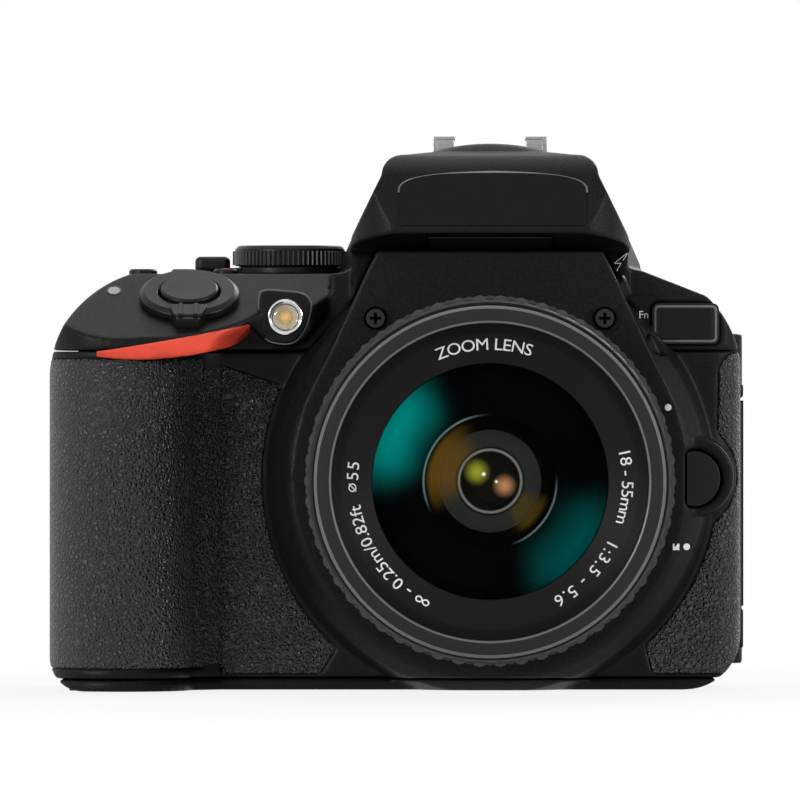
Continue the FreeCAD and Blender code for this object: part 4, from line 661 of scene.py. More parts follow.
def facing(x: float, y: float, z: float, along: Vector = FRONT, right: Vector = RIGHT) -> Matrix:
    """A place at a point in millimetres, turned as axes turns it."""
    return axes(Vector((x, y, z)) * MM, along, right)


def raised(at: Matrix, height: float) -> Matrix:
    """A place moved along its own Z, in millimetres."""
    return at @ Matrix.Translation((0, 0, height * MM))


def ring_of(count: int, wide: float, tall: float) -> list[Pair]:
    """Points on an ellipse of two half widths, anticlockwise."""
    turns = (math.tau * k / count for k in range(count))
    return [(wide * math.cos(a), tall * math.sin(a)) for a in turns]


def eased(profile: Outline, radius: float, steps: int = 3) -> list[Pair]:
    """A closed outline with rounded corners.

    Args:
        profile: the corners, in order.
        radius: how far from a corner the rounding starts, in millimetres.
        steps: the edges of each rounding.

    Returns:
        The outline's points.
    """
    straight = math.radians(172)
    points: list[Pair] = []
    for i, corner in enumerate(profile):
        here, before = Vector(corner), Vector(profile[i - 1])
        after = Vector(profile[(i + 1) % len(profile)])
        if corner[0] == 0 or (before - here).angle(after - here, math.pi) > straight:
            points.append(corner)
            continue
        start, end = (here + (p - here).normalized() * min(radius, 0.45 * (p - here).length)
                      for p in (before, after))
        for t in (k / steps for k in range(steps + 1)):
            p = start * (1 - t) ** 2 + here * (2 * t * (1 - t)) + end * t ** 2
            points.append((p.x, p.y))
    return points


def rounded_box(low: Pair, high: Pair, radius: float, steps: int = 5) -> list[Pair]:
    """A rectangle's outline with round corners, from its low and high corners."""
    return eased([tuple(low), (high[0], low[1]), tuple(high), (low[0], high[1])], radius, steps)


def linked(name: str, data: bpy.types.ID) -> Object:
    """Puts an object in the scene.

    Args:
        name: the object's name.
        data: its mesh or curve.

    Returns:
        The object.
    """
    made = bpy.data.objects.new(name, data)
    bpy.context.scene.collection.objects.link(made)
    return made


def result_of(made: Object) -> Mesh:
    """Works out an object's modifiers or lettering.

    Args:
        made: the object.

    Returns:
        The mesh it comes to.
    """
    bpy.context.view_layer.update()
    graph = bpy.context.evaluated_depsgraph_get()
    return bpy.data.meshes.new_from_object(made.evaluated_get(graph))


def evaluated(made: Object) -> Object:
    """Applies an object's modifiers to its mesh.

    Args:
        made: the object.

    Returns:
        The same object.
    """
    result = result_of(made)
    made.modifiers.clear()
    made.data = result
    return made


def settled(name: str, shape: BMesh) -> Mesh:
    """Turns a bmesh into a mesh.

    Args:
        name: the mesh's name.
        shape: the bmesh, which is freed.

    Returns:
        The mesh.
    """
    mesh = bpy.data.meshes.new(name)
    shape.to_mesh(mesh)
    shape.free()
    return mesh


def smoothed(made: Object, sharp: float = 40.0) -> Object:
    """Smooth shading that keeps corners sharper than an angle, weighted by face size.

    Args:
        made: the object.
        sharp: the angle, in degrees.

    Returns:
        The same object.
    """
    mesh = made.data
    mesh.polygons.foreach_set("use_smooth", [True] * len(mesh.polygons))
    mesh.set_sharp_from_angle(angle=math.radians(sharp))
    weighted = made.modifiers.new("weights", "WEIGHTED_NORMAL")
    weighted.keep_sharp = True
    return evaluated(made)


def finished(name: str, shape: BMesh, sharp: float = 40.0) -> Object:
    """Turns a closed bmesh into an object with outward faces and smooth shading.

    Args:
        name: the object's name.
        shape: the bmesh, which is freed.
        sharp: the angle past which a corner stays sharp, in degrees.

    Returns:
        The object.
    """
    bmesh.ops.remove_doubles(shape, verts=shape.verts, dist=1e-7)
    bmesh.ops.recalc_face_normals(shape, faces=shape.faces)
    return smoothed(linked(name, settled(name, shape)), sharp)


def belt(shape: BMesh, ring: Sequence[BMVert],
         other: Sequence[BMVert]) -> None:
    """Adds the faces between two closed rings, either of which may be a single vertex.

    Args:
        shape: the bmesh that they belong to.
        ring: the vertices of one ring.
        other: those of the next.
    """
    count = max(len(ring), len(other))
    for k, n in ((k, (k + 1) % count) for k in range(count)):
        corners = list(dict.fromkeys((ring[k % len(ring)], ring[n % len(ring)],
                                      other[n % len(other)], other[k % len(other)])))
        if len(corners) > 2:
            shape.faces.new(corners)


def slab(shape: BMesh, grid: Sequence[Sequence[BMVert]],
         thick: float) -> list[BMVert]:
    """Closes a flat grid of vertices into a slab.

    Args:
        shape: the bmesh that they belong to.
        grid: the rows of vertices, or none where the bmesh has its faces already.
        thick: its thickness, in millimetres.

    Returns:
        The vertices of its upper face.
    """
    for row, other in zip(grid, grid[1:]):
        for k in range(len(row) - 1):
            shape.faces.new((row[k], other[k], other[k + 1], row[k + 1]))
    grown = bmesh.ops.extrude_face_region(shape, geom=shape.faces[:])["geom"]
    upper = [item for item in grown if isinstance(item, BMVert)]
    bmesh.ops.translate(shape, vec=(0, 0, thick * MM), verts=upper)
    return upper


def turned(name: str, profile: Outline, at: Matrix, ease: float = 0.2,
           segments: int = 96) -> Object:
    """A body of revolution.

    Args:
        name: the object's name.
        profile: closed outline of (radius, height), in millimetres.
        at: the place whose Z is the axis.
        ease: how far its corners are rounded.
        segments: its faces round the axis.

    Returns:
        The object.
    """
    shape = bmesh.new()
    rings = [[shape.verts.new(at @ (Vector((x, y, height)) * MM))
              for x, y in (ring_of(segments, radius, radius) if radius > 0 else [(0, 0)])]
             for radius, height in eased(profile, ease)]
    for ring, other in zip(rings, rings[1:] + rings[:1]):
        belt(shape, ring, other)
    return finished(name, shape)


def plate(name: str, outline: Outline, low: float, high: float, at: Matrix,
          ease: float = 0.3, steps: int = 3) -> Object:
    """A plate with rounded rims.

    Args:
        name: the object's name.
        outline: its convex edge, anticlockwise, in millimetres.
        low: its underside.
        high: its face.
        at: the place whose Z it faces.
        ease: how far its rims are rounded.
        steps: the edges of each rounding.

    Returns:
        The object.
    """
    points = [Vector(p) for p in outline]
    inward = []
    for i in range(len(points)):
        run = points[(i + 1) % len(points)] - points[i - 1]
        inward.append(Vector((-run.y, run.x)).normalized())
    turns = [math.pi / 2 * k / steps for k in range(steps + 1)]
    levels = [(ease * (1 - math.sin(a)), low + ease * (1 - math.cos(a))) for a in turns]
    levels += [(ease * (1 - math.cos(a)), high - ease * (1 - math.sin(a))) for a in turns]
    shape = bmesh.new()
    rings = [[shape.verts.new(at @ (Vector((*(p + n * inset), height)) * MM))
              for p, n in zip(points, inward)] for inset, height in levels]
    for ring, other in zip(rings, rings[1:]):
        belt(shape, ring, other)
    shape.faces.new(rings[0][::-1])
    shape.faces.new(rings[-1])
    return finished(name, shape)


def outward(edge: Sequence[Vector], way: Vector, least: float) -> float:
    """How far a convex outline lies from its centre.

    Args:
        edge: its corners, measured from the centre.
        way: the direction that is looked in.
        least: the smallest answer.

    Returns:
        The distance.
    """
    wide = least
    for i, start in enumerate(edge):
        run = edge[(i + 1) % len(edge)] - start
        across = way.x * run.y - way.y * run.x
        if abs(across) < 1e-9:
            continue
        along = (start.x * run.y - start.y * run.x) / across
        share = (start.x * way.y - start.y * way.x) / across
        if along > 0 and -1e-6 <= share <= 1 + 1e-6:
            wide = max(wide, along)
    return wide


def collar(name: str, outline: Outline, centre: Pair, hole: float, low: float, high: float,
           at: Matrix, ease: float, segments: int = 72) -> Object:
    """A plate with a round hole and a rounded outer rim.

    Args:
        name: the object's name.
        outline: its convex edge round the centre, anticlockwise, in millimetres.
        centre: the middle of the hole.
        hole: the hole's radius.
        low: its underside.
        high: its face.
        at: the place whose Z it faces.
        ease: how far its outer rim is rounded.
        segments: its faces round the hole.

    Returns:
        The object.
    """
    edge = [Vector(p) - Vector(centre) for p in outline]
    turns = [math.pi / 6 * n for n in range(4)]
    shape = bmesh.new()
    columns = []
    for way in (Vector(p) for p in ring_of(segments, 1, 1)):
        wide = outward(edge, way, hole)
        profile = [(hole, low), (wide, low)]
        profile += [(wide - ease * (1 - math.cos(a)), high - ease * (1 - math.sin(a)))
                    for a in turns] + [(hole, high)]
        columns.append([shape.verts.new(at @ (Vector((*(Vector(centre) + way * r), h)) * MM))
                        for r, h in profile])
    rings = list(zip(*columns))
    for ring, other in zip(rings, rings[1:] + rings[:1]):
        belt(shape, ring, other)
    return finished(name, shape)


def letters(text: str, height: float, at: Matrix, thick: float = 0.06) -> Object:
    """Flat lettering centred on a place.

    Args:
        text: what it says.
        height: the height of a capital, in millimetres.
        at: the place, with X to the right, Y up and Z towards the reader.
        thick: its thickness.

    Returns:
        The object, a plain mesh.
    """
    curve = bpy.data.curves.new("lettering", "FONT")
    curve.body = text
    curve.align_x = "CENTER"
    curve.align_y = "CENTER"
    curve.size = height / CAPITAL
    curve.extrude = thick / 2
    curve.resolution_u = 3
    source = linked("lettering", curve)
    mesh = result_of(source)
    bpy.data.objects.remove(source)
    bpy.data.curves.remove(curve)
    mesh.transform(at @ Matrix.Scale(MM, 4) @ Matrix.Translation((0, 0, thick / 2)))
    return linked("lettering_mesh", mesh)


def advance(text: str) -> float:
    """Measures a line of lettering.

    Args:
        text: what it says.

    Returns:
        Its width for a size of 1, and that of a mark at each end.
    """
    curve = bpy.data.curves.new("measure", "FONT")
    curve.body = f"|{text}|"
    source = linked("measure", curve)
    bpy.context.view_layer.update()
    wide = source.dimensions.x
    bpy.data.objects.remove(source)
    bpy.data.curves.remove(curve)
    return wide


def joined(name: str, parts: Sequence[Object]) -> Object:
    """Makes one object of several.

    Args:
        name: the object's name.
        parts: the objects, which are removed.

    Returns:
        The object.
    """
    shape = bmesh.new()
    for part in parts:
        shape.from_mesh(part.data)
        bpy.data.objects.remove(part)
    return linked(name, settled(name, shape))


def copied(name: str, node: str) -> Object:
    """A merged copy of a CAD node's mesh.

    Args:
        name: the object's name.
        node: the CAD node.

    Returns:
        The object.
    """
    mesh = frame["nodes"][node].data.copy()
    mesh.materials.clear()
    shape = bmesh.new()
    shape.from_mesh(mesh)
    bmesh.ops.remove_doubles(shape, verts=shape.verts, dist=2e-6)
    shape.to_mesh(mesh)
    shape.free()
    return linked(name, mesh)


def softened(name: str, node: str, voxel: float, rounds: int = 6,
             most: int = 150000) -> Object:
    """A CAD node's shape with its corners rounded as a moulding's are.

    Args:
        name: the object's name.
        node: the CAD node.
        voxel: the fineness, in millimetres.
        rounds: how often it is smoothed.
        most: the most triangles it keeps.

    Returns:
        The object.
    """
    made = copied(name, node)
    remesh = made.modifiers.new("remesh", "REMESH")
    remesh.mode = "VOXEL"
    remesh.voxel_size = voxel * MM * 1.0
    relax = made.modifiers.new("relax", "SMOOTH")
    relax.factor = 0.5
    relax.iterations = rounds
    made = evaluated(made)
    triangles = 2 * len(made.data.polygons)
    if triangles > most:
        thin = made.modifiers.new("thin", "DECIMATE")
        thin.ratio = most / triangles
        made = evaluated(made)
    made.data.polygons.foreach_set("use_smooth", [True] * len(made.data.polygons))
    return made


def crisp(name: str, node: str, width: float = 0.2) -> Object:
    """A CAD node's shape with narrow bevels along its edges.

    Args:
        name: the object's name.
        node: the CAD node.
        width: the bevels' width, in millimetres.

    Returns:
        The object.
    """
    made = copied(name, node)
    shape = bmesh.new()
    shape.from_mesh(made.data)
    bmesh.ops.dissolve_limit(shape, angle_limit=math.radians(1), verts=shape.verts,
                             edges=shape.edges)
    shape.to_mesh(made.data)
    shape.free()
    bevel = made.modifiers.new("bevel", "BEVEL")
    bevel.width = width * MM
    bevel.segments = 2
    bevel.limit_method = "ANGLE"
    bevel.angle_limit = math.radians(35)
    return smoothed(evaluated(made), 45)


class Skin:
    """A finished surface, on which thin trim is laid."""

    reach_before: float = 30 * MM
    reach_whole: float = 80 * MM

    def __init__(self, *made: Object) -> None:
        """Keeps the surface of some objects at the origin.

        Args:
            made: the objects.
        """
        points: list[Vector] = []
        faces: list[list[int]] = []
        for piece in made:
            first = len(points)
            points += [v.co.copy() for v in piece.data.vertices]
            faces += [[first + k for k in p.vertices] for p in piece.data.polygons]
        self.tree = BVHTree.FromPolygons(points, faces)

    def point(self, start: Vector, along: Vector) -> Vector:
        """Where a line meets the surface.

        Args:
            start: a point on the line.
            along: its direction.

        Returns:
            The first point found, or start itself.
        """
        way = Vector(along).normalized()
        begin = Vector(start) - way * self.reach_before
        found = self.tree.ray_cast(begin, way, self.reach_whole)[0]
        return found if found is not None else Vector(start)

    def laid(self, made: Object, at: Matrix, lift: float = 0.02) -> Object:
        """Lays a thin piece on the surface.

        Args:
            made: the piece, placed at a flat place in front of the surface.
            at: that place, whose Z faces away from the surface.
            lift: how far the piece's underside stands proud, in millimetres.

        Returns:
            The same piece.
        """
        back = at.inverted()
        out = at.to_3x3() @ UP
        for vertex in made.data.vertices:
            local = back @ vertex.co
            foot = self.point(at @ Vector((local.x, local.y, 0)), -out)
            vertex.co = foot + out * (local.z + lift * MM)
        return made


# -------------------- patterns


class Pattern(Tree):
    """A Geometry Nodes tree with named sizes in millimetres, made into a plain mesh."""

    def __init__(self, name: str, sizes: Sizes) -> None:
        """Makes the tree's inputs.

        Args:
            name: the tree's name.
            sizes: the sizes' names and usual values; a whole number is a count.
        """
        group = bpy.data.node_groups.new(name, "GeometryNodeTree")
        super().__init__(group)
        face = group.interface
        face.new_socket("Geometry", in_out="INPUT", socket_type="NodeSocketGeometry")
        for size, value in self.metres(sizes).items():
            kind = "NodeSocketInt" if isinstance(value, int) else "NodeSocketFloat"
            face.new_socket(size, in_out="INPUT", socket_type=kind).default_value = value
        face.new_socket("Material", in_out="INPUT", socket_type="NodeSocketMaterial")
        face.new_socket("Geometry", in_out="OUTPUT", socket_type="NodeSocketGeometry")
        self.size = self.add("NodeGroupInput")

    @staticmethod
    def metres(sizes: Sizes) -> Sizes:
        """The sizes with each length turned from millimetres to metres."""
        return {k: v if isinstance(v, int) else v * MM for k, v in sizes.items()}

    def combined(self, x: Number = 0.0, y: Number = 0.0, z: Number = 0.0) -> Wire:
        """A vector of three parts."""
        return self.add("ShaderNodeCombineXYZ", None, {0: x, 1: y, 2: z})[0]

    def stud(self, sides: int) -> Wire:
        """A flat cylinder of the sizes Radius and Depth."""
        return self.add("GeometryNodeMeshCylinder", {"fill_type": "NGON"}, {
            "Vertices": sides, "Radius": self.size["Radius"], "Depth": self.size["Depth"]})["Mesh"]

    def spread(self, points: Wire, copy: Wire, turn: Optional[Wire] = None) -> None:
        """Puts a copy on each point and closes the tree.

        Args:
            points: where the copies go.
            copy: the mesh that is repeated.
            turn: each copy's rotation.
        """
        inputs = {"Points": points, "Instance": copy}
        if turn is not None:
            inputs["Rotation"] = turn
        copies = self.add("GeometryNodeInstanceOnPoints", None, inputs)
        real = self.add("GeometryNodeRealizeInstances", None, {"Geometry": copies[0]})
        dressed = self.add("GeometryNodeSetMaterial", None, {
            "Geometry": real[0], "Material": self.size["Material"]})
        self.add("NodeGroupOutput", None, {"Geometry": dressed[0]})

    def made(self, name: str, finish: Finish, at: Matrix, sizes: Sizes,
             points: Points = ()) -> Object:
        """The pattern as a plain mesh.

        Args:
            name: the object's name.
            finish: what it is made of.
            at: where its zero and its Z go.
            sizes: values for the named sizes.
            points: the points that it is spread on, in metres, where it takes any.

        Returns:
            The object.
        """
        seeds = bpy.data.meshes.new(name)
        seeds.from_pydata([Vector(p) for p in points], [], [])
        carrier = linked(name, seeds)
        modifier = carrier.modifiers.new("pattern", "NODES")
        modifier.node_group = self.held
        values = {**self.metres(sizes), "Material": finish.material()}
        for item in self.held.interface.items_tree:
            if item.in_out == "INPUT" and item.name in values:
                modifier[item.identifier] = values[item.name]
        result = result_of(carrier)
        carrier.modifiers.remove(modifier)
        result.transform(at)
        carrier.data = result
        result.polygons.foreach_set("use_smooth", [True] * len(result.polygons))
        result.set_sharp_from_angle(angle=math.radians(50))
        return carrier


class RibRing(Pattern):
    """Ribs along an axis, evenly spread round it."""

    def __init__(self) -> None:
        """Makes rounded ribs on a circle of points."""
        super().__init__("rib_ring", {
            "Count": 60, "Radius": 30.0, "Height": 0.5, "Width": 0.8, "Length": 10.0})
        ring = self.add("GeometryNodeMeshCircle", None, {
            "Vertices": self.size["Count"], "Radius": self.size["Radius"]})
        bar = self.add("GeometryNodeMeshCylinder", {"fill_type": "NGON"}, {
            "Vertices": 8, "Radius": 1.0, "Depth": 1.0})
        stretch = self.combined(self.size["Height"], self.size["Width"] * 0.5, self.size["Length"])
        rib = self.add("GeometryNodeTransform", None, {"Geometry": bar["Mesh"], "Scale": stretch})
        index = self.add("GeometryNodeInputIndex")
        turn = self.combined(z=index[0] * math.tau / self.size["Count"])
        self.spread(ring["Mesh"], rib[0], turn)


class DotField(Pattern):
    """Small round studs on given points."""

    def __init__(self) -> None:
        """Makes a short stud for each point."""
        super().__init__("dot_field", {"Radius": 0.4, "Depth": 0.2})
        self.spread(self.size["Geometry"], self.stud(14))


class TickRow(Pattern):
    """Short bars in a row, such as index marks."""

    def __init__(self) -> None:
        """Makes bars at an even pitch along X."""
        super().__init__("tick_row", {
            "Count": 5, "Pitch": 1.0, "Width": 0.3, "Length": 2.0, "Depth": 0.2})
        span = self.size["Pitch"] * (self.size["Count"] - 1)
        row = self.add("GeometryNodeMeshLine", None, {
            "Count": self.size["Count"], "Start Location": self.combined(span * -0.5),
            "Offset": self.combined(self.size["Pitch"])})
        bulk = self.combined(self.size["Width"], self.size["Length"], self.size["Depth"])
        bar = self.add("GeometryNodeMeshCube", None, {"Size": bulk})
        self.spread(row["Mesh"], bar["Mesh"])


class ScrewHeads(Pattern):
    """Cross-recessed screw heads on given points."""

    arm_wide: float = 0.34
    arm_long: float = 1.25

    def __init__(self) -> None:
        """Makes a head cut through by a cross."""
        super().__init__("screw_heads", {"Radius": 1.6, "Depth": 0.4})
        head = self.stud(28)
        for wide, long in ((self.arm_long, self.arm_wide), (self.arm_wide, self.arm_long)):
            bulk = self.combined(self.size["Radius"] * wide, self.size["Radius"] * long,
                                 self.size["Depth"] * 3)
            arm = self.add("GeometryNodeMeshCube", None, {"Size": bulk})
            head = self.add("GeometryNodeMeshBoolean", {"operation": "DIFFERENCE"}, {
                "Mesh 1": head, "Mesh 2": arm["Mesh"]})["Mesh"]
        self.spread(self.size["Geometry"], head)


@dataclass
class Patterns:
    """One of each repeating pattern."""

    ribs: RibRing = field(default_factory=RibRing)
    dots: DotField = field(default_factory=DotField)
    ticks: TickRow = field(default_factory=TickRow)
    screws: ScrewHeads = field(default_factory=ScrewHeads)


# -------------------- sub-assemblies


def middle(node: str) -> Vector:
    """The middle of a CAD node's box."""
    low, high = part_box(node)
    return (low + high) / 2


def half(node: str, axis: int) -> float:
    """Half a CAD node's size along an axis of the frame, in millimetres."""
    low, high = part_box(node)
    return (high[axis] - low[axis]) / 2 / MM


def ring(node: str) -> tuple[float, float, float]:
    """A CAD ring's two ends in front of the frame's origin and its radius, in millimetres."""
    low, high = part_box(node)
    return -high.y / MM, -low.y / MM, half(node, 0)


def on_top(node: str) -> Matrix:
    """The place in the middle of a CAD node's upper face, looking up."""
    centre = middle(node)
    return axes(Vector((centre.x, centre.y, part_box(node)[1].z)), UP, RIGHT)


def joint(name: str) -> dict:
    """A joint of the frame."""
    return next(j for j in frame["joints"] if j["name"] == name)


def pressed(name: str) -> Vector:
    """Where the face of a key points, against the travel of its joint."""
    return -Vector(joint(name)["axis"])


@dataclass(frozen=True)
class Peg:
    """A CAD button measured along its own axis, in millimetres; its place is on its face."""

    at: Matrix
    depth: float
    cap: float
    flange: float

    @classmethod
    def of(cls, node: str, along: Vector) -> "Peg":
        """Measures a node.

        Args:
            node: the CAD node.
            along: where its face points.

        Returns:
            Its place and sizes.
        """
        right = LEFT if along.y > 0.5 else RIGHT
        turn = axes(Vector((0, 0, 0)), along, right if abs(along.x) < 0.8 else BACK)
        seen = [turn.inverted() @ v.co for v in frame["nodes"][node].data.vertices]
        low = Vector([min(p[k] for p in seen) for k in range(3)])
        high = Vector([max(p[k] for p in seen) for k in range(3)])
        centre = (low + high) / 2

        def wide(points: list[Vector]) -> float:
            """The largest distance from the axis."""
            return max((p.xy - centre.xy).length for p in points) / MM

        cap = wide([p for p in seen if p.z > high.z - 0.6 * MM])
        at = turn @ Matrix.Translation((centre.x, centre.y, high.z))
        return cls(at, (high.z - low.z) / MM, cap, wide(seen))


@dataclass
class Assembly:
    """A sub-assembly: its patterns, its pieces and the way they are attached."""

    patterns: Patterns
    pieces: list[Object] = field(default_factory=list, init=False)

    def attach(self, made: Object, body: str, finish: Finishes,
               *nodes: str) -> Object:
        """Dresses a piece and hangs it on a body.

        Args:
            made: the piece.
            body: the CAD body that it moves with.
            finish: its finish.
            nodes: the CAD nodes that it stands for.

        Returns:
            The same piece.
        """
        made.data.materials.clear()
        made.data.materials.append(finish.value.material())
        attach(made, body)
        if nodes:
            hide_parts(*nodes)
        self.pieces.append(made)
        return made

    def repeat(self, pattern: Pattern, name: str, body: str, finish: Finishes, at: Matrix,
               sizes: Sizes, points: Points = ()) -> None:
        """Makes a repeating pattern and attaches it; see Pattern.made and attach."""
        self.attach(pattern.made(name, finish.value, at, sizes, points), body, finish)

    def lathe(self, name: str, body: str, finish: Finishes, profile: Outline, at: Matrix,
              ease: float, segments: int, *nodes: str) -> None:
        """Turns a piece and attaches it; see turned and attach."""
        self.attach(turned(name, profile, at, ease, segments), body, finish, *nodes)

    def ribs(self, name: str, body: str, finish: Finishes, at: Matrix, count: int,
             radius: float, height: float, width: float, length: float, end: str = "") -> None:
        """Attaches a ring of ribs, its sizes in millimetres; see RibRing."""
        self.repeat(self.patterns.ribs, f"{name}_ribs{end}", body, finish, at, {
            "Count": count, "Radius": radius, "Height": height, "Width": width, "Length": length})

    def mould(self, name: str, node: str, body: str, finish: Finishes, voxel: float,
              rounds: int, most: int = 150000) -> Object:
        """Attaches a softened copy of a CAD node in its place; see softened."""
        return self.attach(softened(name, node, voxel, rounds, most), body, finish, node)

    def keep(self, finish: Finishes, *nodes: str) -> None:
        """Gives CAD nodes that stay in view their finish.

        Args:
            finish: the finish.
            nodes: the CAD nodes.
        """
        for made in (frame["nodes"][node] for node in nodes):
            made.data.materials.clear()
            made.data.materials.append(finish.value.material())
            self.pieces.append(made)

    def build(self) -> None:
        """Builds and dresses every piece."""
        raise NotImplementedError

    def report(self) -> None:
        """Logs each piece with its number of faces."""
        for piece in self.pieces:
            faces = len(piece.data.polygons)
            LOG.info("%s: %s, %d faces", type(self).__name__, piece.name, faces)


@dataclass
class Shell(Assembly):
    """The four covers, the rubber skins and what is let into them."""

    cover_voxel: float = 0.42
    skin_voxel: float = 0.3
    ahead: float = -30.0
    above: float = 80.0
    blade_back: float = 0.9
    blade_rim: float = 0.14
    blade_crown: float = 0.5
    blade_columns: int = 56
    blade_rows: int = 10
    fold_left: float = -52.4
    fold_low: float = 4.6
    fold_wide: float = 5.0
    fold_tall: float = 52.6
    badge_border: float = 1.35
    badge_corner: float = 1.3
    screw_across: float = 20.3
    screw_up: float = 66.0
    screw_radius: float = 1.65
    hole_pitch: float = 1.35
    front: Optional[Skin] = field(default=None, init=False)
    top: Optional[Skin] = field(default=None, init=False)
    face: Optional[Skin] = field(default=None, init=False)

    def build(self) -> None:
        """Builds and dresses every piece."""
        front, top, _, _, grip, _ = (
            self.mould(name, node, "camera", finish, voxel, rounds, most)
            for name, node, finish, voxel, rounds, most in (
                ("front_shell", "front_cover", Finishes.COVER, self.cover_voxel, 5, COVER_FACES),
                ("top_shell", "top_cover", Finishes.COVER, self.cover_voxel, 5, COVER_FACES),
                ("rear_shell", "rear_cover", Finishes.COVER, self.cover_voxel, 5, 150000),
                ("base_shell", "base_cover", Finishes.COVER, self.cover_voxel, 3, 150000),
                ("grip_skin", "grip_rubber", Finishes.LEATHER, self.skin_voxel, 4, 150000),
                ("side_skin", "body_rubber", Finishes.LEATHER, self.skin_voxel, 3, 150000)))
        self.front, self.top = Skin(front), Skin(top)
        self.face = Skin(front, top, grip)
        self.red_blade()
        self.badge()
        self.neck_screws()
        self.lamp()
        self.lamp_shield()
        self.printed_marks()
        self.back_marks()
        self.grip_fold()
        eyelets = crisp("eyelets", "strap_eyelets", 0.15)
        self.attach(eyelets, "camera", Finishes.STEEL, "strap_eyelets")

    def blade_grid(self) -> list[list[Vector]]:
        """Lays a grid of points for the red blade on the covers and evens it out.

        Returns:
            The points, column by column.
        """
        columns, rows = self.blade_columns, self.blade_rows
        low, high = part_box("red_accent")
        span = (high.x - low.x) / MM
        grid: list[list[Vector]] = []
        for t in (i / columns for i in range(columns + 1)):
            across = low.x / MM + span * t
            under = 58.65 + 6.3 * abs(t - 0.28) ** 1.9 + 1.6 * max(0.0, (t - 0.85) / 0.15) ** 2
            over = 60.1 + 3.8 * t + t * t
            column = []
            for j in range(rows + 1):
                up = under + (over - under) * j / rows
                spot = self.face.point(Vector((across, -28.5, up)) * MM, BACK)
                column.append(Vector((across * MM, spot.y, up * MM)))
            grid.append(column)
        foremost_turns, turns = 3, 14
        for turn in range(turns):
            flat = [[p.y for p in column] for column in grid]
            for i in range(columns + 1):
                for j in range(rows + 1):
                    near = [flat[max(0, min(columns, i + a))][max(0, min(rows, j + b))]
                            for a in (-1, 0, 1) for b in (-1, 0, 1)]
                    grid[i][j].y = min(near) if turn < foremost_turns else sum(near) / len(near)
        return grid

    def red_blade(self) -> None:
        """The red blade under the power switch, laid over the covers and crowned."""
        columns, rows = self.blade_columns, self.blade_rows
        shape = bmesh.new()
        front, back = [], []
        for i, column in enumerate(self.blade_grid()):
            taper = math.sin(math.pi * i / columns) ** 0.4 if 0 < i < columns else 0.0
            crown = [self.blade_rim + self.blade_crown * taper * (1 - (2 * j / rows - 1) ** 4)
                     for j in range(rows + 1)]
            front.append([shape.verts.new(p + FRONT * c * MM) for p, c in zip(column, crown)])
            back.append([shape.verts.new(p + BACK * self.blade_back * MM) for p in column])
        for i in range(columns):
            a, b, c, d = front[i], front[i + 1], back[i], back[i + 1]
            for j in range(rows):
                shape.faces.new((a[j], b[j], b[j + 1], a[j + 1]))
                shape.faces.new((c[j], c[j + 1], d[j + 1], d[j]))
            for j in (0, rows):
                shape.faces.new((a[j], c[j], d[j], b[j]))
        for a, c in ((front[0], back[0]), (front[-1], back[-1])):
            for j in range(rows):
                shape.faces.new((a[j], a[j + 1], c[j + 1], c[j]))
        self.attach(finished("red_blade", shape, 50), "camera", Finishes.RED, "red_accent")

    def printed_marks(self) -> None:
        """The small white marks beside the keys, and the receiver window by the switch."""
        for text, height, across, up in (
                ("⚡", 2.2, 23.4, 75.9), ("Fn", 1.3, 27.3, 66.6), ("■ ●", 1.1, 33.9, 25.4)):
            at = facing(across, self.ahead, up)
            mark = self.face.laid(letters(text, height, at), at)
            self.attach(mark, "camera", Finishes.PRINT)
        at = facing(-66.9, self.ahead, 71.0)
        for name, size, lift, finish in (
                ("receiver_rim", 1.0, 0.05, Finishes.SCREW),
                ("receiver_window", 0.78, 0.09, Finishes.GREY_PRINT)):
            made = plate(name, ring_of(28, 1.35 * size, 0.8 * size), 0, 0.12, at, 0.04, 1)
            self.attach(self.face.laid(made, at, lift), "camera", finish)

    def grip_fold(self) -> None:
        """The grip's rubber where it turns in to meet the rubber beside the lens."""
        at, columns, rows = facing(0, self.ahead, 0), 14, 64
        across = [(self.fold_left + self.fold_wide * i / columns) * MM for i in range(columns + 1)]
        upward = [(self.fold_low + self.fold_tall * j / rows) * MM for j in range(rows + 1)]
        shape = bmesh.new()
        slab(shape, [[shape.verts.new((x, z, 0)) for z in upward] for x in across], 0.3)
        bmesh.ops.transform(shape, matrix=at, verts=shape.verts)
        made = self.front.laid(finished("grip_fold", shape, 60), at, -0.1)
        self.attach(made, "camera", Finishes.LEATHER)

    def back_marks(self) -> None:
        """The names of the two keys on the back, the sensor mark and the speaker on the deck."""
        for text, height, at in (
                ("MENU", 1.3, facing(23.4, 36, 68.2, BACK, LEFT)),
                ("AE-L", 1.3, facing(-23.2, 36, 68.2, BACK, LEFT)),
                ("Φ", 2.2, facing(33.5, 25.5, self.above, UP))):
            mark = self.top.laid(letters(text, height, at), at)
            self.attach(mark, "camera", Finishes.PRINT)
        pitch = self.hole_pitch
        spots = [self.top.point(Vector((30.8 + pitch * i, 4.0 + pitch * j, self.above)) * MM, DOWN)
                 for i in range(5) for j in range(3)]
        self.repeat(self.patterns.dots, "speaker_holes", "camera", Finishes.INSIDE,
                    Matrix.Identity(4), {"Radius": 0.36, "Depth": 0.06}, spots)

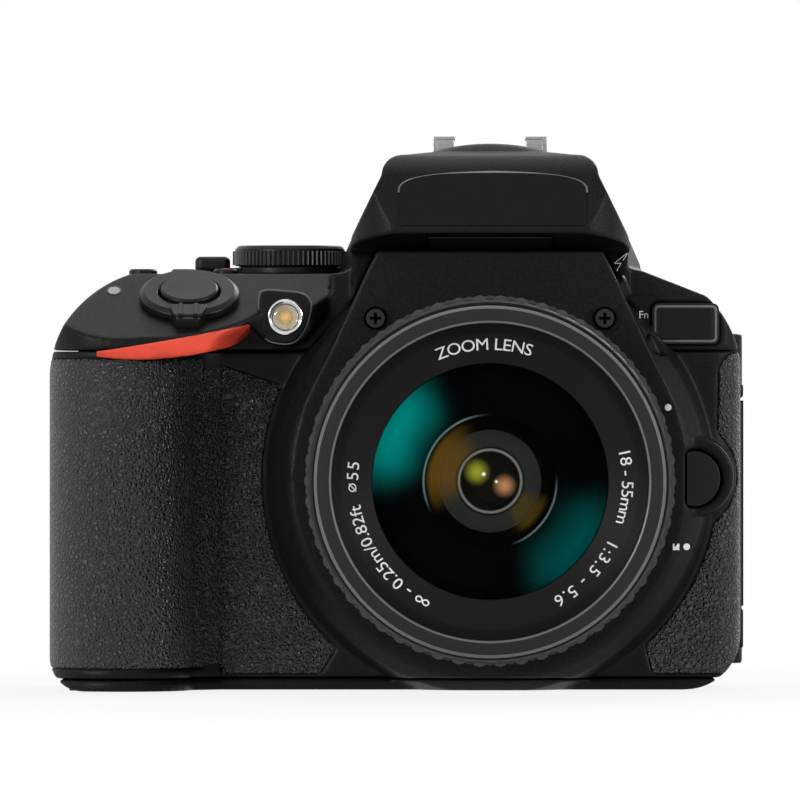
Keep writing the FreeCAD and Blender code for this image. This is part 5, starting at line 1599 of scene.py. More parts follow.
    def badge(self) -> None:
        """The bare name badge: a frame with a painted highlight along its edge, round a smooth
        plate.
        """
        low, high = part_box("badge_plate")
        at = axes(Vector((0, low.y, 0)), FRONT, RIGHT)
        start, end = Vector((low.x / MM, low.z / MM)), Vector((high.x / MM, high.z / MM))
        depth = (high.y - low.y) / MM
        for name, inset, back, face, finish, nodes in (
                ("badge_frame", 0.0, -depth, -0.25, Finishes.CONTROL, ("badge_plate",)),
                ("badge_edge_highlight", 0.35, -0.5, -0.12, Finishes.EDGE, ()),
                ("badge_channel", 0.75, -0.45, -0.06, Finishes.CONTROL, ()),
                ("badge_face", self.badge_border, -0.4, 0.0, Finishes.GLOSS, ())):
            inner = Vector((inset, inset * 0.7 if inset > 1 else inset))
            outline = rounded_box(start + inner, end - inner, max(0.7, self.badge_corner - inset))
            self.attach(plate(name, outline, back, face, at, 0.1), "camera", finish, *nodes)

    def neck_screws(self) -> None:
        """The two cross-head screws beside the flash in their seats, which are painted near-black
        as the shade of their recesses, and the CAD screws.
        """
        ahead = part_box("screws")[0].y
        sides = (-self.screw_across * MM, self.screw_across * MM)
        up, hole, rim = self.screw_up * MM, self.screw_radius - 0.02, self.screw_radius + 0.4
        self.repeat(self.patterns.screws, "neck_screw_heads", "camera", Finishes.SCREW,
                    axes(Vector((0, ahead, 0)), FRONT, RIGHT),
                    {"Radius": self.screw_radius, "Depth": 0.5}, [(x, up, 0.1 * MM) for x in sides])
        profile = [(0, -0.3), (1.25, -0.3), (1.25, -0.02), (hole, -0.02), (hole, -0.3),
                   (rim, -0.3), (rim, 0.08), (hole, 0.08), (hole, 0.0), (0, 0.0)]
        seats = [turned("seat", profile, axes(Vector((x, ahead, up)), FRONT, RIGHT), 0.01, 40)
                 for x in sides]
        # The seats are painted near-black as shade in the recesses.
        self.attach(joined("neck_screw_seats", seats), "camera", Finishes.RECESS_SHADE)
        self.keep(Finishes.SCREW, "screws")

    def lamp(self) -> None:
        """The focus-assist lamp: a ring, a bowl, an amber core and a clear dome."""
        centre = middle("af_lamp")
        face = axes(Vector((centre.x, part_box("af_lamp")[0].y, centre.z)), FRONT, RIGHT)
        for name, profile, ease, segments, finish, nodes in (
                ("lamp_ring", [(2.3, -3.6), (3.2, -3.6), (3.2, -0.25), (2.85, 0.0), (2.4, -0.5)],
                 0.15, 48, Finishes.CHROME, ("af_lamp",)),
                ("lamp_bowl", [(0, -3.5), (2.28, -3.5), (2.28, -0.8), (2.05, -1.2), (1.0, -2.6),
                               (0, -2.8)], 0.1, 40, Finishes.BOWL, ()),
                ("lamp_core", [(0, -2.9), (0.85, -2.7), (0.8, -1.9), (0.45, -1.5), (0, -1.4)],
                 0.1, 32, Finishes.AMBER, ()),
                ("lamp_dome", [(0, -0.75), (2.25, -0.9), (2.28, -0.5), (1.7, -0.25),
                               (0.9, -0.05), (0, 0.0)], 0.05, 40, Finishes.GLASS, ())):
            self.lathe(name, "camera", finish, profile, face, ease, segments, *nodes)

    def lamp_shield(self) -> None:
        """The raised cover round the lamp, with a painted highlight along its edge."""
        centre = middle("af_lamp")
        x, z = centre.x / MM, centre.z / MM
        shield = [(x + a, z + b) for a, b in (
            (-4.6, -1.5), (-3.4, -4.3), (1.2, -4.9), (3.4, -2.6), (4.8, 2.4), (3.2, 4.3),
            (-4.0, 4.9), (-4.7, 3.6))]
        shield = eased(shield, 2.0, 5)
        rim = [(x + (a - x) * 1.05, z + (b - z) * 1.05) for a, b in shield]
        pod = axes(Vector((0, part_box("af_lamp")[0].y, 0)), FRONT, RIGHT)
        for name, outline, hole, low, high, ease, finish in (
                ("lamp_shield", shield, 3.3, -2.2, -0.55, 0.5, Finishes.COVER),
                ("lamp_shield_rim_highlight", rim, 3.6, -2.4, -1.0, 0.15, Finishes.EDGE)):
            made = collar(name, outline, (x, z), hole, low, high, pod, ease)
            self.attach(made, "camera", finish)


@dataclass
class Controls(Assembly):
    """The dials, the lever and the buttons on the top."""

    dial_ribs: int = 72
    dial_rim_up: float = 75.5
    lever_thick: float = 1.05
    wheel_ribs: int = 44
    button_gap: float = 0.06
    flange_gap: float = 0.45
    flange_thick: float = 0.5

    def build(self) -> None:
        """Builds and dresses every piece."""
        self.mode_dial()
        self.lever()
        self.command_dial()
        self.shutter()
        for node, body, mark in (("info_button", "info_key", "i"),
                                 ("exposure_button", "exposure_key", "+"),
                                 ("movie_button", "movie_key", "")):
            self.button(node, body, UP, mark)
        self.lathe("movie_dot", "movie_key", Finishes.RED, [
            (0, -0.2), (0.8, -0.2), (0.8, 0.05), (0, 0.1)], on_top("movie_button"), 0.05, 24)

    def button(self, node: str, body: str, along: Vector, mark: str = "") -> None:
        """A round push button with a dished face, as large as its CAD node.

        Args:
            node: the CAD node it stands for.
            body: the body that it moves with.
            along: where its face points.
            mark: what is printed on it, if anything.
        """
        peg = Peg.of(node, along)
        rim, base = peg.cap - self.button_gap, 0.55 - peg.depth
        flange, top = max(rim, peg.flange - self.flange_gap), base + self.flange_thick
        self.lathe(f"{node}_cap", body, Finishes.CONTROL, [
            (0, base), (flange, base), (flange, top), (rim, top), (rim, -0.35),
            (rim - 0.35, 0.0), (rim - 0.7, -0.02), (rim * 0.5, -0.18), (0, -0.22)],
            peg.at, 0.1, 64, node)
        if mark:
            height = rim * (0.9 if len(mark) == 1 else 0.52)
            self.attach(letters(mark, height, raised(peg.at, -0.2), 0.12), body, Finishes.PRINT)

    def mode_dial(self) -> None:
        """The mode dial: a ribbed rim, a dished top and its settings."""
        at, wide, tall = on_top("mode_dial"), half("mode_dial", 0), 2 * half("mode_dial", 2)
        low = self.dial_rim_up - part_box("mode_dial")[1].z / MM
        foot, rim, side = wide - 6.2, wide - 1.1, wide - 0.45
        self.lathe("mode_dial_body", "mode_knob", Finishes.CONTROL, [
            (0, -tall), (foot, -tall), (foot, low - 0.24), (rim, low - 0.24), (rim, low),
            (side, low), (side, -0.7), (wide - 1.0, -0.1), (wide - 1.6, 0.0),
            (wide - 2.0, -0.15), (0, -0.15)], at, 0.15, 112, "mode_dial")
        self.ribs("mode_dial", "mode_knob", Finishes.KNURL, raised(at, (low - 0.85) / 2),
                  self.dial_ribs, wide - 0.5, 0.48, 0.5, -low - 1.2)
        marks = []
        for k, mark in enumerate(("AUTO", "P", "S", "A", "M", "1", "2", "3")):
            turn = math.radians(90 - k * 45)
            spot = Vector((math.cos(turn), math.sin(turn), 0)) * (wide - 4.2) * MM
            right = at.to_3x3() @ Vector((math.sin(turn), -math.cos(turn), 0))
            place = axes(at @ (spot + Vector((0, 0, -0.16 * MM))), UP, right)
            marks.append(letters(mark, 1.9 if len(mark) == 1 else 1.2, place))
        self.attach(joined("mode_dial_marks", marks), "mode_knob", Finishes.PRINT)

    def lever(self) -> None:
        """The live-view lever: a ring under the mode dial with a rounded tab."""
        low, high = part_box("live_view_lever")
        centre = middle("mode_dial")
        at = axes(Vector((centre.x, centre.y, low.z)), UP, RIGHT)
        wide, thick, hole = (high.x - centre.x) / MM, self.lever_thick, 4.5
        tip, top = (low.x - centre.x) / MM, (high.z - low.z) / MM
        arm = rounded_box((tip + 0.3, -2.7), (tip + 9.0, 0.9), 0.6)
        tab = rounded_box((tip, -3.0), (tip + 6.3, 1.2), 1.6)
        parts = [turned("disc", [(hole, 0), (wide, 0), (wide, thick), (hole, thick)], at, 0.15, 96),
                 plate("arm", arm, 0.02, thick - 0.03, at, 0.1),
                 plate("tab", tab, 0.1, top, at, 0.95, 5)]
        self.attach(joined("lever_plate", parts), "live_view_switch", Finishes.CONTROL,
                    "live_view_lever")

    def command_dial(self) -> None:
        """The command dial, of which the edge shows at the rear."""
        wide, deep = half("command_dial", 0), half("command_dial", 2)
        at, inner = axes(middle("command_dial"), UP), wide - 0.5
        self.lathe("command_dial_body", "command_wheel", Finishes.RUBBER, [
            (0, -deep), (inner, -deep), (inner, deep), (0, deep)], at, 0.4, 96, "command_dial")
        self.ribs("command_dial", "command_wheel", Finishes.RUBBER, at, self.wheel_ribs,
                  wide - 0.6, 0.58, 0.8, 2 * deep - 1.4)

    def shutter(self) -> None:
        """The shutter button inside its power switch."""
        self.button("shutter_button", "shutter_key", pressed("shutter_press"))
        self.mould("power_ring_body", "power_switch", "power_ring", Finishes.CONTROL, 0.16, 3)
        along, pivot = (Vector(joint("power_turn")[key]) for key in ("axis", "pos_m"))
        rim = max((v.co - pivot).dot(along)
                  for v in frame["nodes"]["power_switch"].data.vertices)
        at = axes(pivot + along * rim, along, RIGHT)
        outline = eased([(-2.5, -10.6), (2.5, -10.6), (3.5, -6.1), (-3.5, -6.1)], 0.9, 4)
        handle = plate("power_lever", outline, -2.2, 0.35, at, 0.35, 4)
        self.attach(handle, "power_ring", Finishes.CONTROL)
        ribs = [plate("rib", [(x - 0.4, -10.9), (x + 0.4, -10.9), (x + 0.4, -6.6),
                              (x - 0.4, -6.6)], -2.1, 0.75, at, 0.2, 2) for x in (-1.35, 1.35)]
        self.attach(joined("power_lever_ribs", ribs), "power_ring", Finishes.CONTROL)


@dataclass
class SideKeys(Controls):
    """The flash and function keys on the front, and the lens release."""

    def build(self) -> None:
        """Builds and dresses every piece."""
        self.button("flash_button", "flash_key", pressed("flash_press"))
        self.button("fn_button", "fn_key", pressed("fn_press"))
        self.mould("release_cap", "lens_release_button", "release_key", Finishes.CONTROL, 0.2, 3)


@dataclass
class Flash(Assembly):
    """The pop-up flash head with its name panel and its crown."""

    panel_place: float = 0.5
    panel_half: float = 16.5
    panel_low: float = 82.4
    panel_high: float = 88.2
    panel_rise: float = 3.5
    panel_thick: float = 0.3
    arch_steps: int = 40
    arch_power: float = 0.7
    crown_half: float = 10.6
    crown_deep: float = 4.0
    crown_tall: float = 1.15
    crown_rim: float = 0.06
    crown_columns: int = 32
    crown_rows: int = 16
    at: Optional[Matrix] = field(default=None, init=False)
    skin: Optional[Skin] = field(default=None, init=False)

    def build(self) -> None:
        """Builds and dresses every piece."""
        self.at = facing(self.panel_place, -30, 0)
        self.skin = Skin(self.mould("flash_shell", "flash_head", "flash_unit", Finishes.COVER,
                                    0.32, 5))
        self.keep(Finishes.DIFFUSER, "flash_window")
        self.panel()
        self.seam()
        self.crown()

    def arch(self) -> list[Pair]:
        """The arch along the panel's top, from its right end to its left.

        Returns:
            Its points, in millimetres.
        """
        points = []
        for turn in (math.pi * k / self.arch_steps for k in range(self.arch_steps + 1)):
            across = math.copysign(abs(math.cos(turn)) ** self.arch_power, math.cos(turn))
            rise = self.panel_rise * math.sin(turn) ** self.arch_power
            points.append((self.panel_half * across, self.panel_high + rise))
        return points

    def panel(self) -> None:
        """The bare name panel on the front."""
        half, low, longest = self.panel_half, self.panel_low, 1.6 * MM
        outline = eased([(-half, low), (half, low)] + self.arch(), 0.5, 2)
        shape = bmesh.new()
        shape.faces.new([shape.verts.new((x * MM, y * MM, 0)) for x, y in outline])
        bmesh.ops.triangulate(shape, faces=shape.faces)
        for _ in range(4):
            long = [e for e in shape.edges if e.calc_length() > longest]
            bmesh.ops.subdivide_edges(shape, edges=long, cuts=1)
            bmesh.ops.triangulate(shape, faces=shape.faces)
        slab(shape, (), self.panel_thick)
        bmesh.ops.transform(shape, matrix=self.at, verts=shape.verts)
        made = self.skin.laid(finished("flash_panel", shape, 60), self.at, -0.04)
        self.attach(made, "flash_unit", Finishes.GLOSS)

    def seam(self) -> None:
        """A painted highlight along the panel's arch."""
        at, section = self.at, ((0.0, 0), (0.34, 0), (0.34, 0.14), (0.0, 0.32))
        shape = bmesh.new()
        rows = []
        for across, up in self.arch():
            away = Vector((across, up - self.panel_high, 0)).normalized()
            rows.append([shape.verts.new(at @ ((Vector((across, up, lift)) + away * out) * MM))
                         for out, lift in section])
        for row, other in zip(rows, rows[1:]):
            belt(shape, row, other)
        shape.faces.new(rows[0])
        shape.faces.new(rows[-1][::-1])
        made = self.skin.laid(finished("flash_arch_highlight", shape), at)
        self.attach(made, "flash_unit", Finishes.EDGE)

    def crown(self) -> None:
        """The low crown on top of the head, just ahead of the shoe."""
        at, half, deep = facing(0, -8, 100, UP), self.crown_half, self.crown_deep
        across = [half * (2 * i / self.crown_columns - 1) for i in range(self.crown_columns + 1)]
        along = [deep * (2 * j / self.crown_rows - 1) for j in range(self.crown_rows + 1)]
        shape = bmesh.new()
        grid = [[shape.verts.new(Vector((x, y, 0)) * MM) for y in along] for x in across]
        for vert in slab(shape, grid, 0.0):
            x, y = vert.co.x / (half * MM), vert.co.y / (deep * MM)
            rise = max(0.0, 1 - x * x) ** 0.8 * max(0.0, 1 - y * y)
            vert.co.z = (self.crown_rim + self.crown_tall * rise) * MM
        bmesh.ops.transform(shape, matrix=at, verts=shape.verts)
        made = self.skin.laid(finished("flash_crown", shape, 50), at, -0.05)
        self.attach(made, "flash_unit", Finishes.COVER)


@dataclass
class Lens(Assembly):
    """The zoom lens, from the mount to the front glass."""

    ring_ribs: int = 54
    focus_ribs: int = 150
    rib_low: float = 45.5
    bore: float = 20.0
    sleeve: float = 29.3
    tube: float = 27.6
    collar_radius: float = 30.0
    rim_radius: float = 30.3
    cone_radius: float = 20.4
    cone_low: float = 77.9
    cone_slope: float = math.atan2(3.35, 7.1)
    thread_turns: int = 4
    thread_pitch: float = 0.58
    thread_radius: float = 27.42
    glass_radius: float = 20.35
    glass_tip: float = 79.1
    glass_back: float = 76.4
    name_height: float = 2.2
    name_radius: float = 23.6

    def __post_init__(self) -> None:
        """Finds the lens axis."""
        self.at = axes(Vector((0, 0, middle("zoom_ring").z)), FRONT, RIGHT)

    def build(self) -> None:
        """Builds and dresses every piece."""
        self.keep(Finishes.MOUNT, "mount_ring", "lens_bayonet")
        self.keep(Finishes.GLASS, "rear_lens_group")
        self.barrel()
        self.zoom_ring()
        self.focus_ring()
        self.front_barrel()
        self.optics()
        self.name_ring()

    def barrel(self) -> None:
        """The fixed barrel, with its index marks."""
        back, tip, wide = ring("lens_barrel")
        seam, groove = ring("zoom_ring")[0] - 0.35, wide - 0.35
        bore, inner = self.bore, self.sleeve
        self.lathe("barrel_body", "camera", Finishes.LENS, [
            (bore, back), (wide - 1.2, back), (wide, back + 1.6), (wide, back + 5.0),
            (groove, back + 5.2), (groove, back + 5.8), (wide, back + 6.0), (wide, seam),
            (inner, seam), (inner, tip), (inner - 1.64, tip), (inner - 1.64, back + 2.2),
            (bore, back + 2.2)], self.at, 0.25, 128, "lens_barrel")
        axis = self.at.translation.z
        top = Vector((0, -(seam - 1.9) * MM, axis + wide * MM))
        size = {"Count": 1, "Pitch": 1.0, "Width": 0.5, "Length": 2.2, "Depth": 0.12}
        self.repeat(
            self.patterns.ticks, "zoom_index", "camera", Finishes.PRINT, axes(top, UP, RIGHT), size)
        dot = axes(Vector((31.5 * MM, -22.4 * MM, axis + 12.6 * MM)), FRONT)
        self.lathe("mount_index", "camera", Finishes.PRINT, [
            (0, -0.4), (0.6, -0.4), (0.6, 0.1), (0, 0.15)], dot, 0.06, 24)

    def zoom_ring(self) -> None:
        """The zoom ring: two staggered rows of ribs and its scale."""
        back, tip, wide = ring("zoom_ring")
        low, inner, skirt, rim = self.rib_low, self.sleeve + 0.09, wide - 0.35, wide - 0.9
        self.lathe("zoom_sleeve_body", "zoom_sleeve", Finishes.LENS, [
            (inner, back), (rim, back), (skirt, back + 0.7), (skirt, low - 0.6),
            (rim, low - 0.3), (rim, tip - 0.9), (wide - 1.3, tip), (inner, tip)],
            self.at, 0.2, 128, "zoom_ring")
        long = (tip - 1.7 - low) / 2
        for row in range(2):
            stagger = Matrix.Rotation((1 - row) * math.pi / self.ring_ribs, 4, "Z")
            self.ribs("zoom", "zoom_sleeve", Finishes.KNURL,
                      raised(self.at, low + long * (row + 0.5)) @ stagger, self.ring_ribs,
                      wide - 0.95, 0.94, 2.6, long - 0.5, f"_{row + 1}")
        marks = [self.on_ring(text, 2.0, turn, wide - 0.34, back + 3.8)
                 for text, turn in (("18", 90), ("24", 68), ("35", 45), ("45", 22), ("55", 0))]
        self.attach(joined("zoom_scale", marks), "zoom_sleeve", Finishes.PRINT)

    def on_ring(self, text: str, height: float, turn: float, radius: float,
                along: float) -> Object:
        """A word on the outside of a ring, read from above the lens.

        Args:
            text: the word.
            height: its height, in millimetres.
            turn: its angle round the axis, in degrees.
            radius: the ring's radius.
            along: its distance in front of the frame's origin.

        Returns:
            The word's mesh.
        """
        angle, twist = math.radians(turn), self.at.to_3x3()
        way = Vector((math.cos(angle), math.sin(angle), 0))
        side = twist @ Vector((math.sin(angle), -math.cos(angle), 0))
        spot = self.at @ (Vector((way.x * radius, way.y * radius, along)) * MM)
        return letters(text, height, axes(spot, twist @ way, side))

    def focus_ring(self) -> None:
        """The narrow focus ring with its fine ribs."""
        back, tip, wide = ring("focus_ring")
        inner, side, rim = 28.28, wide - 0.6, wide - 0.9
        self.lathe("focus_body", "focus_sleeve", Finishes.CONTROL, [
            (inner, back), (rim, back), (side, back + 0.4), (side, tip - 0.4), (rim, tip),
            (inner, tip)], self.at, 0.2, 128, "focus_ring")
        self.ribs("focus", "focus_sleeve", Finishes.KNURL, raised(self.at, (back + tip) / 2),
                  self.focus_ribs, wide - 0.65, 0.38, 0.75, tip - back - 1.6)

    def front_barrel(self) -> None:
        """The extending barrel with its rim, filter thread and cone."""
        back, tip, _ = ring("front_barrel")
        tube, inner, step = self.tube, 26.3, 70.35
        rim, cone, throat, mouth = self.rim_radius, self.cone_radius, 19.0, 27.4
        self.lathe("front_tube", "extending_barrel", Finishes.RIM, [
            (inner, back), (tube, back), (tube, step), (self.collar_radius, step),
            (self.collar_radius, 71.0), (28.2, 71.0), (28.2, 79.98), (rim, 79.98), (rim, 83.5),
            (29.9, tip - 0.35), (28.4, tip - 0.05), (28.0, tip), (tube, tip - 0.1),
            (mouth, tip - 0.5), (mouth, 81.25), (cone, self.cone_low), (cone, 73.7),
            (throat, 73.7), (throat, 72.5), (inner, 72.5)], self.at, 0.16, 144, "front_barrel")
        # Thin light rings at the rim's outer and inner edges, painted highlights.
        edges = [turned("edge", [(radius, tip - drop) for radius, drop in section],
                        self.at, 0.05, 144) for section in (
            ((29.6, 0.5), (rim + 0.01, 1.0), (rim + 0.01, 0.72), (29.85, 0.26)),
            ((27.3, 0.5), (27.75, 0.3), (27.7, 0.03), (27.4, 0.14)))]
        self.attach(joined("rim_edge_highlights", edges), "extending_barrel", Finishes.EDGE)
        for k in range(self.thread_turns):
            level = tip - 0.9 - self.thread_pitch * k
            self.lathe(f"filter_thread_{k + 1}", "extending_barrel", Finishes.RIM, [
                (self.thread_radius, level - 0.22), (self.thread_radius - 0.27, level),
                (self.thread_radius, level + 0.22)], self.at, 0.04, 120)

    def optics(self) -> None:
        """The clear front glass and the coated surfaces behind it."""
        steps = [k / 10 for k in range(11)]
        front = [(self.glass_radius * t, self.glass_tip - 2.8 * t ** 2) for t in steps]
        back = [(self.glass_radius * t, self.glass_back - 2.5 * t ** 2) for t in steps[::-1]]
        self.lathe("front_glass", "extending_barrel", Finishes.FRONT_GLASS, front + back, self.at,
                   0.02, 120, "front_element")
        self.lathe("inner_optics", "extending_barrel", Finishes.OPTICS, [
            (0, 63), (18.9, 63), (18.9, 73.74), (20.3, 73.74), (20.3, 73.88), (18.8, 73.82),
            (17.0, 73.2), (14.5, 72.6), (11.6, 72.2), (11.2, 72.0), (11.2, 68.8), (8.7, 68.2),
            (8.6, 66.4), (6.0, 66.2), (5.85, 66.7), (5.3, 66.7), (5.1, 66.3), (3.5, 66.9),
            (1.8, 67.2), (0, 67.3)], self.at, 0.06, 120)

    def name_ring(self) -> None:
        """The ring round the front glass, with its generic data."""
        marks = []
        for text, start, stop in (
                ("18 - 55mm", 14, -18), ("1:3.5 - 5.6", -25, -62), ("∞ - 0.25m/0.82ft", -116, -170),
                ("⌀55", -175, -189), ("ZOOM LENS", 113, 72)):
            marks += self.round_words(text, start, stop)
        self.attach(joined("lens_data", marks), "extending_barrel", Finishes.PRINT)

    def round_words(self, text: str, start: float, stop: float) -> list[Object]:
        """Letters on the cone, read clockwise with their tops outward.

        Args:
            text: the words.
            start: the angle of the first letter, in degrees.
            stop: the angle of the last.

        Returns:
            A mesh for each letter.
        """
        radius, slope, twist = self.name_radius, self.cone_slope, self.at.to_3x3()
        level = self.cone_low + (radius - self.cone_radius) * math.tan(slope)
        made = []
        places = [advance(text[:k]) for k in range(len(text) + 1)]
        for letter, before, after in zip(text, places, places[1:]):
            if letter == " ":
                continue
            share = ((before + after) / 2 - places[0]) / (places[-1] - places[0])
            angle = math.radians(start + (stop - start) * share)
            flat = Vector((math.cos(angle), math.sin(angle), 0))
            side = Vector((math.sin(angle), -math.cos(angle), 0))
            out = UP * math.cos(slope) - flat * math.sin(slope)
            spot = self.at @ ((flat * radius + Vector((0, 0, level))) * MM)
            place = axes(spot, twist @ out, twist @ side)
            made.append(letters(letter, self.name_height, place))
        return made


@dataclass
class Rear(Controls):
    """The monitor, the eyepiece and the keys on the back."""

    border: Pair = (2.6, 2.4)
    bore: float = 4.45
    arrow_place: float = 2.1
    diopter_ribs: int = 32

    def build(self) -> None:
        """Builds and dresses every piece."""
        self.mould("monitor_case", "monitor_housing", "monitor", Finishes.COVER, 0.4, 4)
        arm = crisp("monitor_arm", "monitor_bracket", 0.3)
        self.attach(arm, "camera", Finishes.COVER, "monitor_bracket")
        self.monitor_glass()
        self.mould("eyecup_rubber", "eyecup", "camera", Finishes.RUBBER, 0.35, 6)
        self.keep(Finishes.GLASS, "eyepiece_lens")
        for key, mark in (("quick", "i"), ("playback", "▶"), ("zoom_out", "−"), ("zoom_in", "+"),
                          ("delete", ""), ("menu", ""), ("ae_lock", ""), ("ok", "OK")):
            self.button(f"{key}_button", f"{key}_key", BACK, mark)
        self.selector()
        self.diopter()

    def monitor_glass(self) -> None:
        """The monitor's cover glass, and its picture within a dark border."""
        low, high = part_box("monitor_glass")
        at = axes(Vector((0, high.y, 0)), BACK, LEFT)
        start, end = Vector((-high.x / MM, low.z / MM)), Vector((-low.x / MM, high.z / MM))
        thick, border = (high.y - low.y) / MM, Vector(self.border)
        pane = plate("monitor_pane", rounded_box(start, end, 1.0), -thick, 0, at, 0.2)
        self.attach(pane, "monitor", Finishes.SCREEN, "monitor_glass")
        edge = rounded_box(start + border, end - border, 0.4)
        picture = plate("monitor_picture", edge, -0.05, 0.01, at, 0.005)
        self.attach(picture, "monitor", Finishes.PICTURE)

    def selector(self) -> None:
        """The four-way selector: a dished ring with four arrows."""
        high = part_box("multi_selector")[1]
        centre = middle("multi_selector")
        at = axes(Vector((centre.x, high.y, centre.z)), BACK, LEFT)
        wide, deep = half("multi_selector", 0), 2 * half("multi_selector", 1)
        self.lathe("selector_ring", "selector_pad", Finishes.CONTROL, [
            (self.bore, -deep), (wide, -deep), (wide, -deep + 1.2), (wide - 0.5, -0.35),
            (wide - 1.6, 0.0), (wide - 3.2, -0.5), (self.bore, -0.7)],
            at, 0.25, 96, "multi_selector")
        arrows = []
        for turn in (math.radians(90 * k) for k in range(4)):
            out = Vector((math.cos(turn), math.sin(turn), 0))
            spot = at @ (out * (wide - self.arrow_place) * MM + Vector((0, 0, -0.12 * MM)))
            place = axes(spot, BACK, at.to_3x3() @ out)
            arrow = [(-0.5, -0.7), (0.7, 0), (-0.5, 0.7)]
            arrows.append(plate("arrow", arrow, 0, 0.22, place, 0.03, 1))
        self.attach(joined("selector_arrows", arrows), "selector_pad", Finishes.PRINT)

    def diopter(self) -> None:
        """The eyesight wheel beside the eyepiece."""
        wide, deep = half("diopter_wheel", 2), half("diopter_wheel", 0)
        at, inner = axes(middle("diopter_wheel"), RIGHT), wide - 0.4
        self.lathe("diopter_body", "diopter_knob", Finishes.RUBBER, [
            (0, -deep), (inner, -deep), (inner, deep), (0, deep)], at, 0.3, 64, "diopter_wheel")
        self.ribs("diopter", "diopter_knob", Finishes.RUBBER, at, self.diopter_ribs,
                  wide - 0.45, 0.44, 0.5, 2 * deep - 0.7)


@dataclass
class Doors(Assembly):
    """The battery, card and connector doors."""

    def build(self) -> None:
        """Builds and dresses every piece."""
        for name, node, body, finish, bevel in (
                ("battery_lid", "battery_door", "battery_hatch", Finishes.COVER, 0.25),
                ("card_lid", "card_door", "card_hatch", Finishes.COVER, 0.25),
                ("connector_lid", "connector_cover", "connector_flap", Finishes.RUBBER, 0.3)):
            self.attach(crisp(name, node, bevel), body, finish, node)


@dataclass
class Fittings(Assembly):
    """The hot shoe, the tripod socket and the parts inside."""

    shoe_floor: float = 96.12
    stop_across: float = 8.2
    stop_half: float = 1.75
    contact_radius: float = 0.95
    lining_half: float = 2.5
    lining_thick: float = 0.6

    def build(self) -> None:
        """Builds and dresses every piece."""
        rails = crisp("shoe_rails", "hot_shoe", 0.12)
        self.attach(rails, "camera", Finishes.STEEL, "hot_shoe")
        self.shoe_stops()
        self.lining()
        self.contacts()
        for finish, nodes in (
                (Finishes.STEEL, ("tripod_socket",)),
                (Finishes.INSIDE, ("chassis_frame", "shutter_unit")),
                (Finishes.GLASS, ("focusing_screen",)),
                (Finishes.MIRROR, ("viewfinder_prism", "reflex_mirror")),
                (Finishes.SENSOR, ("image_sensor",)),
                (Finishes.BOARD, ("main_board",)),
                (Finishes.CELL, ("battery",))):
            self.keep(finish, *nodes)

    def shoe_stops(self) -> None:
        """The upright ends of the shoe's two rails."""
        ahead = axes(Vector((0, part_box("hot_shoe")[0].y + 0.1 * MM, 0)), FRONT, RIGHT)
        stops = [plate("stop", rounded_box((x - self.stop_half, 96.0), (x + self.stop_half, 98.3),
                                           0.3), -1.4, 0.0, ahead, 0.2)
                 for x in (-self.stop_across, self.stop_across)]
        self.attach(joined("shoe_stops", stops), "camera", Finishes.STEEL)

    def contacts(self) -> None:
        """The five gold contacts in the shoe."""
        back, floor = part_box("hot_shoe")[1].y, self.shoe_floor * MM
        spots = [(x * MM, back - y * MM, floor) for x, y in (
            (0, 9.6), (-4.2, 5.2), (4.2, 5.2), (-2.2, 2.9), (2.2, 2.9))]
        self.repeat(self.patterns.dots, "shoe_contacts", "camera", Finishes.GOLD,
                    Matrix.Identity(4), {"Radius": self.contact_radius, "Depth": 0.3}, spots)

    def lining(self) -> None:
        """The dark walls inside, behind the seam between the covers."""
        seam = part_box("top_cover")[0].z / MM
        low, high = seam - self.lining_half, seam + self.lining_half
        walls = [plate("wall", [(start, low), (end, low), (end, high), (start, high)], 0,
                       self.lining_thick, at, 0.05, 1)
                 for start, end, at in ((-72.5, 41.5, facing(0, 24.6, 0)),
                                        (-19.0, 24.4, facing(-73.0, 0, 0, RIGHT, BACK)),
                                        (-8.0, 24.4, facing(41.0, 0, 0, RIGHT, BACK)))]
        self.attach(joined("seam_lining", walls), "camera", Finishes.INSIDE)


# -------------------- studio


@dataclass(frozen=True)
class Lamp:
    """A large soft lamp: its name, place and width in metres, and power in watts."""

    name: str
    place: tuple[float, float, float]
    size: float
    power: float

    def build(self, aim: Vector) -> None:
        """Hangs the lamp in the scene.

        Args:
            aim: the point that it is turned to.
        """
        data = bpy.data.lights.new(self.name, "AREA")
        data.shape = "DISK"
        data.size = self.size
        data.energy = self.power
        lit = linked(self.name, data)
        lit.location = self.place
        lit.rotation_euler = (aim - Vector(self.place)).to_track_quat("-Z", "Y").to_euler()


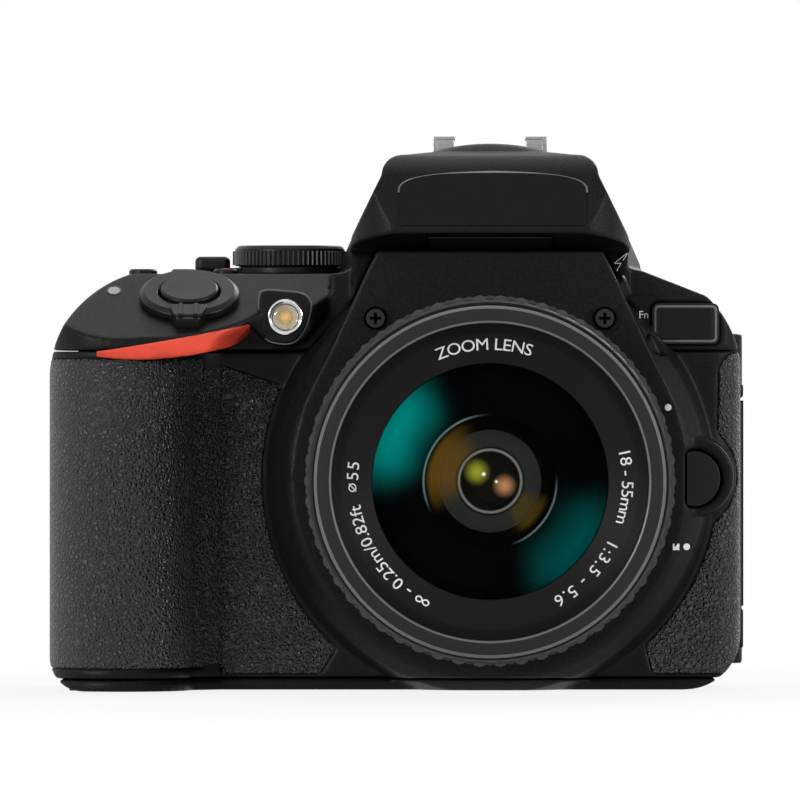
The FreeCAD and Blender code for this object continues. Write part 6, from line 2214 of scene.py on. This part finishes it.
@dataclass
class Studio:
    """The floor, the soft light from all round, the lamps and the camera."""

    aim: tuple[float, float, float] = (0.0, -0.013, 0.0515)
    distance: float = 2.137
    rise: float = 0.15
    focal: float = 541.0
    shift: float = -0.1126
    floor_half: float = 6.0
    floor_drop: float = 0.0004
    lamp_aim: tuple[float, float, float] = (0.0, 0.0, 0.05)
    lamps: tuple[Lamp, ...] = (
        Lamp("key", (-1.2, -1.2, 0.45), 0.35, 14.0), Lamp("fill", (1.4, -0.8, 0.5), 0.5, 13.0),
        Lamp("over", (-0.2, 0.4, 1.5), 1.0, 3.5), Lamp("back", (0.6, 1.3, 0.8), 0.8, 8.0))

    def build(self) -> None:
        """Builds the whole setting."""
        self.view()
        self.floor()
        self.air()
        for lamp in self.lamps:
            lamp.build(Vector(self.lamp_aim))

    def view(self) -> None:
        """The camera, far off with a long lens."""
        data = bpy.data.cameras.new("view")
        data.lens = self.focal
        data.sensor_width = 36
        data.shift_x = self.shift
        data.clip_start = 0.05
        seen = linked("view", data)
        lift = math.radians(self.rise)
        away = Vector((0, -math.cos(lift), math.sin(lift)))
        seen.location = Vector(self.aim) + away * self.distance
        seen.rotation_euler = (math.pi / 2 - lift, 0, 0)
        bpy.context.scene.camera = seen

    def floor(self) -> None:
        """A pale floor that stays white to the camera but keeps the shadow."""
        shape = bmesh.new()
        bmesh.ops.create_grid(shape, x_segments=1, y_segments=1, size=self.floor_half)
        bmesh.ops.translate(shape, vec=(0, 0, -self.floor_drop), verts=shape.verts)
        floor = linked("floor", settled("floor", shape))
        paint = Paint("pale_floor")
        grey, white = (0.86, 0.86, 0.86), (0.9, 0.9, 0.9)
        matt = paint.add("ShaderNodeBsdfPrincipled", None, {
            "Base Color": paint.mix(paint.noise(40.0), grey, white), "Roughness": 0.8,
            "Specular IOR Level": 0.1})
        bright = paint.add("ShaderNodeEmission", None, {"Color": (1, 1, 1), "Strength": 1.0})
        across, deep, _ = paint.split(paint.here)
        far = paint.smooth(paint.distance(across, deep), 0.1, 0.3)
        share = paint.looking() * (0.86 + far * 0.14)
        both = paint.add("ShaderNodeMixShader", None, {0: share, 1: matt["BSDF"], 2: bright[0]})
        floor.data.materials.append(paint.close(both[0]))

    def air(self) -> None:
        """Soft light from all round, white behind the object."""
        world = bpy.data.worlds.new("soft_light")
        bpy.context.scene.world = world
        world.use_nodes = True
        tree = Tree(world.node_tree)
        tree.held.nodes.clear()
        way = tree.add("ShaderNodeTexCoord")["Generated"]
        sky = tree.add("ShaderNodeSeparateXYZ", None, {0: way})["Z"]
        above = tree.add("ShaderNodeMapRange", {"interpolation_type": "SMOOTHSTEP"}, {
            "Value": sky, "From Min": -0.3, "From Max": 0.9, "To Min": 0.2, "To Max": 0.5})[0]
        seen = tree.looking()
        light = tree.add("ShaderNodeBackground", None, {
            "Color": (1, 1, 1), "Strength": above * (1 - seen) + seen})
        tree.add("ShaderNodeOutputWorld", None, {"Surface": light[0]})


def main() -> None:
    """Builds the camera and its setting."""
    logging.basicConfig(level=logging.INFO)
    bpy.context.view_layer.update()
    bpy.context.scene.view_settings.view_transform = "Standard"
    Studio().build()
    patterns = Patterns()
    for kind in (Shell, Controls, Flash, SideKeys, Lens, Rear, Doors, Fittings):
        assembly = kind(patterns)
        assembly.build()
        assembly.report()


if __name__ == "__main__":
    main()
